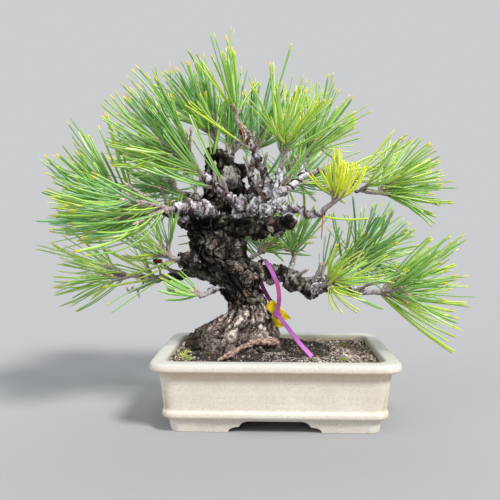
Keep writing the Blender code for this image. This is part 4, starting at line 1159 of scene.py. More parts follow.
# Limbs that are drawn more slender than the source's even tubes, for their knots stand out to those
SLENDER = {"bough_mid_right": 0.74, "bough_upper_left": 0.98, "bough_left_front": 1.12, "riser_top": 0.82,
           "riser_middle": 0.85, "riser_front": 0.9, "riser_right": 0.9, "bough_low_left": 0.88}


def crooked_course(name, step):
    """A limb's course with the crooks and knots of its real wood."""
    route, radii = limb_course(name, step)
    shares = np.linspace(0, 1, len(route))
    loose = (np.minimum(1, 6 * np.minimum(shares, 1 - shares)) * (0.8 + 0.16 * radii))[:, None]
    salt = 200 + 10 * list(LIMBS).index(name)
    places = route + loose * rough_shifts(route / 8.5, 2, salt)
    knots = 1 + 0.20 * rough_noise(route / 5.5, 2, salt + 5)
    knots += 0.35 * ease(smooth_noise(route / 4.0, salt + 6), 0.30, 0.75)
    slender = 1 + (SLENDER.get(name, 0.92) - 1) * ease(shares, 0.0, 0.2)
    return places, radii * knots * slender


# Knots and lumps of old bark: place and radius
LUMPS = ((-14, -20, 164, 8.5), (2, -26, 166, 7.5), (12, -28, 171, 6.5), (-24, -15, 172, 9.0),
         (-30.2, -16, 190.5, 5.0), (-74, -13, 137, 7.8), (-66, -8, 142, 8.5), (-61, -3, 128, 8.0),
         (-66, -16, 172, 8.0), (-47, -19, 174, 7.5), (-33, -16, 176, 8.0), (-58, -18, 181, 6.0),
         (-55, 2, 226, 6.5), (-30, 4, 217, 6.0), (16, -9, 119, 8.5), (32, -12, 112, 8.0),
         (-22, -13, 122, 8.0), (-92, 8, 120, 5.6), (-66, 8, 126, 7.0), (-40, 16, 183, 9.0),
         (-80, -14, 170, 5.0), (-79, -48, 182, 5.2), (-72, -42, 184.5, 5.6), (-58, -26, 208, 4.8))
SURFACE_ROOTS = 13
TRUNK_SIDES = 72
LIMB_SIDES = 18
VOXEL = 0.72


def surface_roots():
    """Fine roots that creep over the foot of the flare and into the soil: the places and radii of each."""
    chance = random.Random("surface roots 2")
    foot_z, foot_x, foot_y, _ = TRUNK[0]
    for index in range(SURFACE_ROOTS):
        heading = math.radians(185 + 150 * (index + chance.uniform(0.1, 0.9)) / SURFACE_ROOTS)
        reach, height = chance.uniform(25, 33), chance.uniform(68, 79)
        route = []
        for _ in range(10):
            route.append((foot_x + reach * math.cos(heading), foot_y + 0.95 * reach * math.sin(heading),
                          max(height, foot_z)))
            heading += chance.gauss(0, 0.055)
            reach += chance.uniform(1.4, 2.6)
            height -= chance.uniform(0.6, 2.6)
        radius = chance.uniform(1.0, 1.7)
        yield np.array(route), np.linspace(radius, 0.5 * radius, len(route))


def rough_wood():
    """The trunk, limbs, root and lumps as one smooth mesh before its bark is raised."""
    rings = [trunk_ring(row, TRUNK_SIDES) for row in smooth_route(TRUNK, 2.5)]
    rings.insert(0, rings[0] - (0, 0, 2.0))
    heap = Heap()
    heap.add(*skin(rings), "bark")
    for name in LIMBS:
        if name != "dead_twig":
            heap.add_tube(*crooked_course(name, 2.0), LIMB_SIDES, "bark")
    root = np.array(smooth_route(FRONT_ROOT, 2.5))
    wobble = rough_shifts(root[:, :3] / 9, 2, 301)
    knots = 0.74 + 0.22 * rough_noise(root[:, :3] / 4.5, 2, 307)
    heap.add_tube(root[:, :3] + 1.1 * wobble - (0, 0, 0.6), root[:, 3] * knots, LIMB_SIDES, "bark")
    for route, radii in surface_roots():
        heap.add_tube(route, radii, 10, "bark")
    for number, (x, y, z, radius) in enumerate(LUMPS):
        vertices, faces = lump_shape(3, 40 + number)
        vertices = unit(vertices) * (1 + 0.14 * smooth_noise(unit(vertices) * 1.6, number)[:, None])
        heap.add(vertices * radius + (x, y, z), faces, "bark")
    thing = new_object("wood", heap.mesh("wood"))
    remesh = thing.modifiers.new("one_skin", "REMESH")
    remesh.mode = "VOXEL"
    remesh.voxel_size = VOXEL * METRES
    mesh = finished_mesh(thing, "trunk_and_boughs")
    discard(thing)
    return mesh


# How pale each limb's young bark is; less than none darkens the limb below old bark, as painted shade
PALE_LIMBS = {
    "bough_mid_right": 1.0, "riser_top": 0.75, "riser_middle": 0.95, "riser_front": 0.95, "riser_right": 1.0,
    "riser_far_right": 1.0, "bough_left_front": 0.85, "bough_left_mid": 0.85, "bough_upper_left": 0.9,
    "bough_low_right": 0.08, "bough_low_left": 0.2, "stub_left": 0.15, "spur_low_left": 0.4,
    "stub_mid_right": -1.0,
}
USUAL_PALENESS = 0.55
# Two spots on the trunk's front, each with its radius, and the x left of which the flare is mossy
DEAD_PATCH = ((-38.5, -16.5, 210.0), 10.5)
# The hollow is sunk into the wood and also painted near black, as shade inside it
DARK_HOLLOW = ((-37.0, -17.5, 199.0), 5.5)
MOSSY_FLANK = -62
# The heights between which each kind of bark on the flare gives way to what is above or below it
STRIP_TOP = (90, 104)
FLANK_TOP = (84, 98)
EARTH_TOP = (65, 80)
TAN_TOP = (92, 112)
FORK_FOOT = (64, 72)
# The radii between which wood comes to bear large plates, and small ones
LARGE_PLATE_WOOD = (8, 13)
SMALL_PLATE_WOOD = (3, 6)
# Large and small plates of bark: their size low on the trunk, their size elsewhere, and a seed
PLATE_LAYERS = (((4.2, 4.2, 21), (7.4, 7.4, 12.5), 51), ((2.3, 2.3, 9), (3.3, 3.3, 6.2), 71))
# A layer of plates: how near a crack is, how far each plate stands out, how it tilts, and its tone
Plates = namedtuple("Plates", "edge up tilt tone")


def nearest_course(points):
    """For each point, the local radius of the wood, whether it is on a limb, and how pale that limb is."""
    courses = [((x, y, z), radius, 0.0, 0.0) for z, x, y, radius in smooth_route(TRUNK, 4)]
    for name in LIMBS:
        pale = PALE_LIMBS.get(name, USUAL_PALENESS)
        courses += [(place, radius, 1.0, pale) for place, radius in zip(*limb_course(name, 4))]
    places, radii, limb, pale = (np.array(column) for column in zip(*courses))
    best = np.zeros(len(points), int)
    for start in range(0, len(points), 8000):
        part = points[start:start + 8000]
        gap = np.linalg.norm(part[:, None] - places[None], axis=2) - radii
        best[start:start + 8000] = gap.argmin(axis=1)
    return radii[best], limb[best], pale[best]


def near_front_root(points):
    """1 on the root that lies in front, 0 away from it."""
    gaps = np.full(len(points), 99.0)
    for place in smooth_route(FRONT_ROOT, 2.5):
        gaps = np.minimum(gaps, np.linalg.norm(points - place[:3], axis=1) - place[3])
    return 1 - ease(gaps, -0.2, 1.6)


def round_trunk(points):
    """How far each point is from the trunk's middle line, and at which angle round it."""
    heights, middle_x, middle_y, _ = np.array(TRUNK).T
    x = points[:, 0] - np.interp(points[:, 2], heights, middle_x)
    y = points[:, 1] - np.interp(points[:, 2], heights, middle_y)
    return np.hypot(x, y), np.arctan2(y, x)


def rolled_out(points):
    """The trunk's points carried to an even cylinder, so that bark runs down the flare's roots."""
    away, angle = round_trunk(points)
    down = points[:, 2] - 0.7 * np.maximum(0, away - 19)
    return np.stack([20 * np.cos(angle), 20 * np.sin(angle), down], axis=1)


def fork_backs(points):
    """1 on the backs of the flare's two front ridges, falling to 0 beside them."""
    return fork_share(np.degrees(round_trunk(points)[1]) % 360, points[:, 2])


def flaked(points, size, salt):
    """One layer of bark plates of this size."""
    edge, own, off = plates(points / np.array(size), salt)
    return Plates(edge, own[:, 0] - 0.5, ((own[:, 1:4] - 0.5) * off).sum(axis=1), own[:, 2])


def layered(surface, strips):
    """The layers of plates on a surface, drawn out to strips where strips says so."""
    for long_size, size, salt in PLATE_LAYERS:
        long_plates, usual_plates = flaked(surface, long_size, salt), flaked(surface, size, salt + 3)
        yield Plates(*(np.where(strips, one, other) for one, other in zip(long_plates, usual_plates)))


def spot_on(points, spot, stretch, waver, inner, outer):
    """1 in a spot of the wood, falling to 0 round it."""
    middle, radius = spot
    away = np.linalg.norm((points - middle) * stretch, axis=1) + waver
    return 1 - ease(away, radius - inner, radius + outer)


def read_wood(points):
    """What the bark goes by at each point: the size of the wood, the zones of bark from 0 to 1, and the
    layers of its plates, ledges and fibres."""
    size, limb, pale = nearest_course(points)
    z = points[:, 2]
    root = near_front_root(points)
    warp = rough_shifts(points / 12, 2, 31)
    jag = rough_shifts(points / 4.6, 3, 41)
    surface = np.where(limb[:, None] > 0.5, points, rolled_out(points)) + 3.4 * warp + 1.2 * jag
    low = (1 - ease(z + 5 * warp[:, 0], *STRIP_TOP)) * (1 - limb)
    large, small = layered(surface, low > 0.5)
    flank = 1 - ease(points[:, 0] + 4 * warp[:, 0], MOSSY_FLANK - 6, MOSSY_FLANK + 6)
    flank *= (1 - ease(z, *FLANK_TOP)) * (1 - limb)
    return SimpleNamespace(
        points=points, z=z, size=size, limb=limb, pale=pale, root=root, warp=warp, surface=surface, low=low,
        large=large, small=small, flank=flank, big=ease(size, *LARGE_PLATE_WOOD),
        mid=ease(size, *SMALL_PLATE_WOOD),
        contour=3.0 * rough_noise((surface + (40, 0, 0)) / (6.0, 6.0, 8.0), 3, 93),
        fibre=rough_noise(surface / (1.5, 1.5, 15), 3, 109),
        fork=fork_backs(points + 1.2 * warp + 0.5 * jag) * fork_fade(z) * (1 - limb),
        dead=spot_on(points, DEAD_PATCH, (1, 1, 0.75), 2.5 * rough_noise(points / 5, 2, 97), 2.5, 0.5),
        hollow=spot_on(points, DARK_HOLLOW, (0.8, 1, 0.75), 1.5 * rough_noise(points / 4, 2, 101), 2, 2),
        earthy=(1 - ease(z + 6 * warp[:, 2] + 3 * jag[:, 0], *EARTH_TOP)) * (1 - limb) * (1 - root))


def bark_height(at):
    """How far the bark stands out at each point: its plates, ledges and fibres, and the bare patches."""
    large_crack = 1 - ease(at.large.edge, 0.02, 0.15)
    small_crack = 1 - ease(at.small.edge, 0.01, 0.14)
    ledge = np.floor(at.contour) + ease(at.contour - np.floor(at.contour), 0.0, 0.18)
    fine = rough_noise(at.points / 1.7, 2, 95)
    plate = 2.3 * at.large.up + 4.2 * at.large.tilt - 2.2 * large_crack
    flake = 1.3 * at.small.up + 2.4 * at.small.tilt - 0.6 * small_crack
    lift = at.big * plate * (1 - 0.35 * at.low)
    lift += (0.30 + 0.70 * at.mid) * flake * (1 - 0.4 * at.low)
    lift += (0.15 + 0.85 * at.mid) * 0.62 * ledge * (1 - 0.6 * at.low) + 0.36 * fine
    lift += at.low * 1.15 * at.fibre
    lift += at.low * 0.7 * at.fork
    lift *= 1 - 0.9 * at.root
    lift += at.root * (0.9 * rough_noise(at.points * (0.16, 0.45, 0.6), 3, 96) + 0.5 * fine)
    grain = rough_noise(at.points * (0.5, 0.5, 0.13), 3, 99)
    lift = lift * (1 - 0.8 * at.dead) + at.dead * (0.6 + 1.5 * grain)
    lift -= 4.0 * at.hollow
    lift += np.maximum(at.flank, 0.8 * at.earthy) * 0.9 * rough_noise(at.points / 2.4, 3, 103)
    return lift


def tan_share(at):
    """Where the trunk's foot is tan."""
    tan = 1 - ease(at.z + 7 * at.warp[:, 1], *TAN_TOP)
    tan = tan * (1 - at.limb) * (1 - 0.85 * at.flank) * (1 - 0.55 * at.earthy)
    tan *= 0.45 + 0.45 * ease(rough_noise(at.surface / (7, 7, 30), 2, 105), -0.4, 0.3)
    return np.maximum(np.maximum(tan, 0.95 * at.fork * ease(at.z, *FORK_FOOT)), at.root)


def crack_share(at, lift):
    """Where the bark is cracked or hollow, and so dark: partly the bark's own dark and partly painted shade
    in these recesses.
    """
    crack = np.maximum((1 - ease(at.large.edge, 0.05, 0.26)) * at.big,
                       (1 - ease(at.small.edge, 0.02, 0.20)) * (0.2 + 0.6 * at.mid))
    crack = np.maximum(crack, 0.75 * at.mid * (1 - ease(at.contour - np.floor(at.contour), 0.0, 0.2)))
    # Painted shade: the bark goes dark where it lies low
    crack = np.maximum(crack, 0.9 * at.mid * (1 - ease(lift, -3.2, -1.2)))
    return np.maximum(crack * (1 - 0.6 * at.dead) * (1 - 0.8 * at.root) * (1 - 0.45 * at.earthy), at.hollow)


def bark_masks(at, lift, upward):
    """What the bark's colours follow, from 0 to 1."""
    # Young bark is paler where it faces up: painted light on the tops of the limbs
    young = at.limb * at.pale * (1 - at.big) * (0.62 + 0.38 * ease(upward, -0.6, 0.3))
    young = np.maximum(young, at.limb * (1 - ease(at.size, 2.9, 4.6)) * 0.9)
    # Dark patches of bark at random, growing towards the left as painted shade on the trunk's left side
    patches = rough_noise(at.points / (13, 13, 17), 2, 107)
    dark_patches_and_left_shade = ease(patches - 0.010 * (at.points[:, 0] + 45), -0.25, 0.45) * (1 - at.low)
    # Plate rims are lighter, partly as flaking and partly as painted highlight
    rim = ease(at.small.edge, 0.10, 0.18) * (1 - ease(at.small.edge, 0.20, 0.36))
    plate_tone = np.where(at.big > 0.5, 0.55 * at.large.tone + 0.45 * at.small.tone, at.small.tone)
    # Partly painted light and shade: bark that stands out is lighter and bark that lies low is darker,
    # besides each plate's own tone
    tone = 0.62 * plate_tone + 0.38 * ease(lift, -2.0, 2.4)
    tone = tone + at.low * (0.42 * at.fork - 0.04 + 0.26 * at.fibre) - 0.22 * dark_patches_and_left_shade
    # A limb whose paleness is below none, the stub of the middle right bough, is darkened as painted shade
    tone = tone + 0.13 * rim + 0.16 * (at.limb * np.minimum(0, at.pale)) + 0.07 * young
    return {"crack_and_shade": crack_share(at, lift), "tone": tone, "pale": young * (1 - at.low), "tan": tan_share(at),
            "moss": np.maximum(0.85 * at.flank, 0.75 * at.earthy), "dead": at.dead, "rosy": at.root}


def raise_bark(mesh):
    """Lifts and cracks the wood's surface into bark, and keeps what its colours follow."""
    points = vertex_array(mesh) / METRES
    normals = vertex_array(mesh, "normal")
    wood = read_wood(points)
    lift = bark_height(wood)
    moved = points + normals * lift[:, None]
    mesh.vertices.foreach_set("co", (moved * METRES).astype(np.float32).ravel())
    for name, values in bark_masks(wood, lift, normals[:, 2]).items():
        hold(mesh, name, values)
    mesh.polygons.foreach_set("use_smooth", [True] * len(mesh.polygons))
    mesh.update()


def build_wood():
    """The trunk and boughs in one skin of bark."""
    mesh = rough_wood()
    raise_bark(mesh)
    dress(mesh, "bark")
    add_piece("trunk_and_boughs", mesh, ["trunk"] + [name for name in LIMBS if name != "dead_twig"])


# The dead twig's side twigs: the share of its length where each leaves it, how far it turns up, and its
# length
DEAD_SIDE_TWIGS = ((0.35, -0.5, 10), (0.55, 0.7, 8), (0.7, -0.8, 9), (0.85, 0.4, 7), (0.95, -0.3, 6))


def build_dead_twig():
    """The bare grey twig below the low left bough, with its curled side twigs."""
    heap = Heap()
    chance = random.Random("dead twig")
    route, radii = limb_course("dead_twig", 1.5)
    knots = 1 + 0.3 * rough_noise(route / 2.5, 2, 23)
    heap.add_tube(route, radii * knots, 10, "dead_wood")
    for share, lift, length in DEAD_SIDE_TWIGS:
        place = route[int(share * (len(route) - 1))]
        way = unit(np.array((-0.7 + chance.uniform(-0.3, 0.3), chance.uniform(-0.7, 0.4), lift)))
        side = [place]
        for _ in range(6):
            way = unit(way + np.array([chance.gauss(0, 0.4) for _ in range(3)]))
            side.append(side[-1] + way * length / 6)
        heap.add_tube(side, 1.2 * (1 - 0.1 * np.arange(7)) * [chance.uniform(0.8, 1.3) for _ in range(7)], 7,
                      "dead_wood")
    add_piece("dead_twig_curled", heap.mesh("dead_twig_curled"), ["dead_twig"])


# The growth of the masses, by the source's rule

class Taken:
    """The straight stretches that nothing else may touch, each with its radius and its owner."""

    def __init__(self):
        self.starts = np.zeros((0, 3))
        self.ends = np.zeros((0, 3))
        self.radii = np.zeros(0)
        self.owners = np.zeros(0, dtype=object)

    def add(self, owner, start, end, radius):
        """Keeps one more stretch."""
        self.starts = np.vstack((self.starts, start))
        self.ends = np.vstack((self.ends, end))
        self.radii = np.append(self.radii, radius)
        self.owners = np.append(self.owners, owner)

    def add_limb(self, owner, route, radii):
        """Keeps a limb's stretches, the last one only up to the flat tip."""
        last = len(route) - 2
        for index, (start, end) in enumerate(zip(route, route[1:])):
            radius = 1.1 * radii[index + 1]
            if index == last:
                end = end - unit(end - start) * 0.4 * radius
            self.add(owner, start, end, radius)

    def clears(self, owner, start, end, radius, also=None):
        """Whether a stretch stays clear of everything of other owners."""
        others = (self.owners != owner) & (self.owners != also)
        starts, ends = self.starts[others], self.ends[others]
        along, across = np.array(end - start), ends - starts
        offset = np.array(start) - starts
        a, c = along @ along, np.einsum("ij,ij->i", across, across)
        b, d, e = across @ along, offset @ along, np.einsum("ij,ij->i", across, offset)
        spread = np.maximum(a * c - b * b, 1e-6)
        s = np.clip((b * e - c * d) / spread, 0, 1)
        t = np.clip((b * s + e) / c, 0, 1)
        s = np.clip((b * t - d) / a, 0, 1)
        nearest = offset + s[:, None] * along - t[:, None] * across
        gaps = np.linalg.norm(nearest, axis=1) - self.radii[others] - radius
        return bool(gaps.min() > NEEDLE_CLEARANCE)


def fanned(axis, polar, turn):
    """The direction at an angle from an axis, turned round it."""
    axis = Vector(axis)
    level = axis.cross(Vector((0, 0, 1)))
    side = level.normalized() if level.length > 1e-6 else Vector((1, 0, 0))
    side.rotate(Quaternion(axis, turn))
    return np.array((axis * math.cos(polar) + side * math.sin(polar)).normalized())


def tip_of(limb_name):
    """Where a limb ends and the way that it points there."""
    if limb_name == "trunk":
        top, x, y, _ = TRUNK[-1]
        return np.array((x, y, top)), np.array((0.0, 0.0, 1.0))
    before, tip = smooth_route(LIMBS[limb_name][-1], LIMB_STEP)[-2:]
    return tip, unit(tip - before)


def heart_of(mass):
    """The middle of a mass's own space."""
    return tip_of(mass.limb)[0] + unit(np.array(mass.lean)) * (mass.shoot_length + 0.45 * mass.needle_length)


def grow_shoots(name, mass, taken, chance):
    """The stem and the shoots of a mass: (start, end) of each."""
    tip, way = tip_of(mass.limb)
    lean = unit(np.array(mass.lean))
    stem = (tip, tip + way * STEM_LENGTH)
    fork = tip + way * (STEM_LENGTH - SHOOT_RADIUS)
    shoots = []
    phase = chance.uniform(0, 2 * math.pi)
    for index in range(mass.shoots):
        for attempt in range(TRIES):
            polar = math.radians(mass.fan) * math.sqrt((index + 0.35) / mass.shoots)
            turn = phase + index * GOLDEN_TURN + attempt * RETRY_TURN
            way_out = unit(fanned(lean, polar, turn) + (0, 0, mass.lift))
            end = fork + way_out * mass.shoot_length * chance.uniform(0.7, 1.1)
            if taken.clears(name, fork, end, SHOOT_RADIUS):
                shoots.append((fork, end))
                break
    taken.add(name, *stem, STEM_RADIUS)
    for start, end in shoots:
        taken.add(name, start, end, SHOOT_RADIUS)
    return stem, shoots


def grow_side_twigs(name, shoots, count, taken, chance):
    """Finer twigs that leave the shoots between their middle and their end."""
    twigs = []
    for start, end in shoots:
        axis = unit(end - start)
        length = np.linalg.norm(end - start)
        phase = chance.uniform(0, 2 * math.pi)
        for index in range(count):
            root = start + axis * length * chance.uniform(0.45, 0.8)
            way = fanned(axis, math.radians(chance.uniform(26, 44)), phase + index * math.radians(170))
            tip = root + way * max(6.0, length * chance.uniform(0.30, 0.48))
            if taken.clears(name, root, tip, 0.6 * SHOOT_RADIUS):
                twigs.append((root, tip))
    return twigs


def grow_limb_twigs(name, mass, count, taken, chance):
    """Short twigs that leave the outer half of the mass's limb and turn up."""
    route, radii = limb_course(mass.limb, 2.0)
    ways = unit(np.gradient(route, axis=0))
    phase = chance.uniform(0, 2 * math.pi)
    twigs = []
    for index in range(count):
        for attempt in range(TRIES):
            here = int((0.42 + 0.5 * (index + chance.uniform(0.1, 0.9)) / count) * (len(route) - 1))
            axis = unit(ways[here] + 0.5 * unit(np.array(mass.lean)))
            turn = phase + index * GOLDEN_TURN + attempt * RETRY_TURN
            way = unit(fanned(axis, math.radians(chance.uniform(38, 62)), turn) + (0, 0, 0.35))
            root = route[here] + way * 0.6 * radii[here]
            tip = root + way * (radii[here] + chance.uniform(7, 13))
            if way[2] > -0.15 and taken.clears(name, root, tip, 0.6 * SHOOT_RADIUS, mass.limb):
                twigs.append((root, tip))
                break
    return twigs


# The angle between a pair's needles, how much longer a needle is the further down its twig it grows,
# how near another mass's middle and how far from its own mass's lean and the ground it may reach, and how
# far past the source's box a tip may lie
PAIR_SPREAD = (1.5, 6.5)
INNER_GAIN = 0.75
REACH_SHARE = 1.15
LEAST_LEAN = -0.05
LOWEST_TIP = 25
PAST_SOURCE = 5
LOW_REACH, HIGH_REACH = (np.array(corner) / METRES - np.array(MIDDLE) / METRES for corner in CAD_BOX)


def within_source(place):
    """Whether a place lies within the source's reach."""
    return (place > LOW_REACH - PAST_SOURCE).all() and (place < HIGH_REACH + PAST_SOURCE).all()


def grow_pairs(name, twig, count, shorten, hearts, taken, chance):
    """The needle pairs on a twig, longer where they grow further down it: (root, way, apart, pull,
    length) of each."""
    mass, spray = MASSES[name], SPRAYS[name]
    lean, length, cone = unit(np.array(mass.lean)), mass.needle_length, mass.cone
    start, end = twig
    axis = unit(end - start)
    stretch = np.linalg.norm(end - start) * spray.down
    heart = hearts[name]
    others = [place for other, place in hearts.items() if other != name]
    phase = chance.uniform(0, 2 * math.pi)
    pairs = []
    for index in range(count):
        for attempt in range(3):
            share = (index + chance.uniform(0.1, 0.5)) / count
            polar = math.radians(cone) * (0.12 + 0.88 * math.sqrt(share)) * chance.uniform(0.60, 1.30)
            turn = phase + index * GOLDEN_TURN + attempt * RETRY_TURN + chance.gauss(0, 0.2)
            root = end - axis * (stretch * share - 0.5)
            way = unit(fanned(axis, polar, turn) - (0, 0, DROOPS.get(name, 0.0)))
            reach = (length * chance.uniform(0.66, 1.12) + INNER_GAIN * stretch * share) * shorten
            reach *= SHORTER.get(name, 1.0)
            apart = fanned(way, math.radians(90), chance.uniform(0, 2 * math.pi))
            pull = spray.gather * (axis - way) + np.array(spray.comb)
            pull = pull + [chance.gauss(0, 0.17) for _ in range(3)]
            bent = sum(unit(way + part * pull) for part in (0.12, 0.37, 0.62, 0.87)) / 4
            while not within_source(root + bent * reach):
                reach *= 0.96
            tip = root + unit(way + 0.5 * pull) * reach
            inside = all(np.linalg.norm(tip - heart) < REACH_SHARE * np.linalg.norm(tip - other)
                         for other in others)
            inside = inside and way @ lean > LEAST_LEANS.get(name, LEAST_LEAN)
            if inside and tip[2] > LOWEST_TIP and taken.clears(name, root, tip, 0.8):
                pairs.append((root, way, apart, pull, reach))
                break
    return pairs


# Needles

def needle_faces(count):
    """The quads of that many needles, and for each its band and its side."""
    stations = len(NEEDLE_PROFILE)
    one = band_faces(stations, 4)[:, ::-1]
    caps = np.array([[0, 1, 2, 3], [3, 2, 1, 0]]) + [[0], [(stations - 1) * 4]]
    one = np.vstack([one, caps])
    band = np.concatenate([np.repeat(np.arange(stations - 1), 4), [0, stations - 2]])
    side = np.concatenate([np.tile(np.arange(4), stations - 1), [0, 0]])
    faces = (one[None] + (np.arange(count) * stations * 4)[:, None, None]).reshape(-1, 4)
    return faces, np.tile(band, count), np.tile(side, count)


def bent_needles(roots, ways, pulls, outward, lengths, tips, widths):
    """The vertices of needles that bend along their length, flat on the side away from outward."""
    count = len(roots)
    shares = np.tile(np.array(NEEDLE_STATIONS + (0.0, 0.0, 1.0)), (count, 1))
    shares[:, -3] = tips - TURNING_SHARE
    shares[:, -2] = tips
    places = [roots]
    for step in range(shares.shape[1] - 1):
        middle = (shares[:, step] + shares[:, step + 1]) / 2
        stretch = (shares[:, step + 1] - shares[:, step]) * lengths
        places.append(places[-1] + unit(ways + pulls * middle[:, None]) * stretch[:, None])
    rings = []
    for station, (place, profile) in enumerate(zip(places, NEEDLE_PROFILE)):
        way = unit(ways + pulls * shares[:, station, None])
        side = unit(np.cross(way, outward))
        out = np.cross(side, way)
        half = (profile * widths)[:, None]
        deep = half * NEEDLE_THICKNESS
        rings.append(np.stack([place + side * half, place + side * half * 0.55 + out * deep,
                               place - side * half * 0.55 + out * deep, place - side * half], axis=1))
    return np.stack(rings, axis=1).reshape(-1, 3)


def paired_needles(pairs, heap, chance):
    """The two needles of each pair: root, way, pull, outward side, length, share where the tip starts,
    width, tone and finish of the tip. Their sheaths go on the heap."""
    needles = []
    for root, way, apart, pull, length, tone in pairs:
        opening = math.radians(chance.uniform(*PAIR_SPREAD))
        dry = chance.random() < DRY_SHARE
        width = NEEDLE_WIDTH * chance.uniform(0.88, 1.1)
        for side in (-1, 1):
            out = apart * side
            pulled = pull + out * chance.uniform(-0.10, 0.02)
            reach = length * chance.uniform(0.95, 1.0)
            tip = chance.uniform(*TIP_SHARES)
            turned = chance.random()
            end = "tip_dry" if turned < DRY_TIP_SHARE else "tip" if turned < YELLOW_TIP_SHARE else None
            needles.append((root + way * 1.0 + out * 0.25, way * math.cos(opening) + out * math.sin(opening),
                            pulled, out, reach, tip, width, "dry" if dry else tone, end))
        sheath = [root - way * 0.5, root + way * 2.0, root + way * chance.uniform(3.6, 5.4)]
        heap.add_tube(sheath, (1.05, 1.0, 0.8), 5, "sheath")
    return needles


def stray_needles(name):
    """The single needles of a mass, told as in paired_needles."""
    needles = []
    for owner, foot, tip, tone, rise in STRAY_NEEDLES:
        if owner == name:
            way = np.array(tip, float) - foot
            width = NEEDLE_WIDTH * (0.6 if tone == "dry" else 1.0)
            needles.append((np.array(foot, float), unit(way) - (0.0, 0.0, 0.5 * rise),
                            np.array((0.03, 0.02, rise)), np.array((0.0, -1.0, 0.1)), np.linalg.norm(way),
                            TIP_SHARES[1], width, tone, "tip"))
    return needles


def face_tone(band, side, tone, end):
    """The finish of a needle's face in this band along it and on this side of it."""
    bands = len(NEEDLE_PROFILE) - 1
    if tone == "dry":
        return "dry"
    if band == 0:
        return "base"
    if band >= bands - 2 and end:
        return end if band == bands - 1 else "turning"
    # The flat side's paler line is partly painted highlight
    return tone + "_line" if side == 3 else tone


def build_spray(name, pairs, chance):
    """All the needles of one mass as a piece, in pairs, each pair of one tone."""
    heap = Heap()
    needles = paired_needles(pairs, heap, chance) + stray_needles(name)
    *measures, tones, ends = zip(*needles)
    faces, band, side = needle_faces(len(needles))
    per_needle = len(faces) // len(needles)
    names = [face_tone(here, way_round, tones[number // per_needle], ends[number // per_needle])
             for number, (here, way_round) in enumerate(zip(band, side))]
    heap.add(bent_needles(*(np.array(values) for values in measures)), faces.tolist(), names)
    piece = "spray_" + name.removeprefix("needles_")
    add_piece(piece, heap.mesh(piece), [name])


# The faces of a leaf scale, whose four corners are its two sides, its back and its point
SCALE_FACES = ((0, 1, 2), (0, 3, 1), (1, 3, 2), (2, 3, 0))


def add_twig(heap, start, end, radius_start, radius_end, chance):
    """A rough twig with a spiral of leaf scales."""
    length = np.linalg.norm(end - start)
    axis = unit(end - start)
    bend = fanned(axis, math.radians(90), chance.uniform(0, 2 * math.pi)) * length * 0.04
    count = max(4, int(length / 1.6))
    shares = np.linspace(0, 1, count)
    route = start + np.outer(shares, end - start) + np.outer(np.sin(math.pi * shares), bend)
    radii = radius_start + (radius_end - radius_start) * shares
    knots = [chance.uniform(0.86, 1.16) for _ in range(count)]
    heap.add_tube(route, radii * knots, 8, "twig")
    for index in range(int(length)):
        share = (index + 0.5) / length
        place = start + (end - start) * share + bend * math.sin(math.pi * share)
        out = fanned(axis, math.radians(90), index * GOLDEN_TURN)
        across = np.cross(axis, out)
        radius = radius_start + (radius_end - radius_start) * share
        base = place + out * radius * 0.75
        corners = [base + across * 0.75, base - across * 0.75, base - axis * 1.1 + out * 0.1,
                   base + out * chance.uniform(0.7, 1.2) + axis * 0.9]
        heap.add(np.array(corners), SCALE_FACES, "scale")


def add_bud(heap, place, axis, size, chance):
    """A pointed bud in its scales."""
    shares = np.array((0.0, 0.15, 0.35, 0.55, 0.75, 0.9, 1.0))
    widths = np.array((0.55, 0.95, 1.0, 0.85, 0.55, 0.28, 0.05))
    route = place + np.outer(shares, axis) * size * 3.4
    heap.add_tube(route, widths * size, 7, "bud", roll=chance.uniform(0, 1))
    for index in range(7):
        out = fanned(axis, math.radians(90), index * GOLDEN_TURN)
        across = np.cross(axis, out)
        base = place + axis * size * (0.3 + 0.35 * index) + out * size * (0.85 - 0.08 * index)
        corners = [base + across * size * 0.45, base - across * size * 0.45, base - out * size * 0.3,
                   base + out * size * 0.22 + axis * size * 0.9]
        heap.add(np.array(corners), SCALE_FACES, "sheath")


def build_foliage():
    """Every mass: its shoots from the source's rule, finer twigs, buds and needles."""
    taken = Taken()
    taken.add_limb("trunk", [np.array((x, y, z)) for z, x, y, _ in TRUNK], [radius for *_, radius in TRUNK])
    for name in LIMBS:
        taken.add_limb(name, *limb_course(name, LIMB_STEP))
    hearts = {name: heart_of(mass) for name, mass in MASSES.items()}
    grown = {}
    for name, mass in MASSES.items():
        grown[name] = grow_shoots(name, mass, taken, random.Random(f"{name} {GROWTH_SEED}"))
    twigs = Heap()
    for name, mass in MASSES.items():
        (foot, top), shoots = grown[name]
        spray = SPRAYS[name]
        chance = random.Random(name + " sprays")
        side_twigs = grow_side_twigs(name, shoots, spray.side_twigs, taken, chance)
        on_limb = grow_limb_twigs(name, mass, spray.limb_twigs, taken, chance) if spray.limb_twigs else []
        add_twig(twigs, foot - unit(top - foot) * 2, top, STEM_RADIUS, TWIG_RADIUS * 1.1, chance)
        pairs = []
        for group, count, radius, shorten in ((shoots, spray.pairs, TWIG_RADIUS, 1.0),
                                              (side_twigs, spray.side_pairs, 0.75 * TWIG_RADIUS, 0.92),
                                              (on_limb, spray.limb_pairs, TWIG_RADIUS, 1.0)):
            for start, end in group:
                add_twig(twigs, start, end, radius, 0.8 * radius, chance)
                add_bud(twigs, end, unit(end - start), chance.uniform(1.2, 1.7), chance)
                tone = chance.choice(spray.tones)
                longer = shorten * chance.uniform(0.86, 1.10)
                for pair in grow_pairs(name, (start, end), count, longer, hearts, taken, chance):
                    pairs.append((*pair, chance.choice(spray.tones) if chance.random() < 0.3 else tone))
        build_spray(name, pairs, chance)
    add_piece("twigs_and_buds", twigs.mesh("twigs_and_buds"))


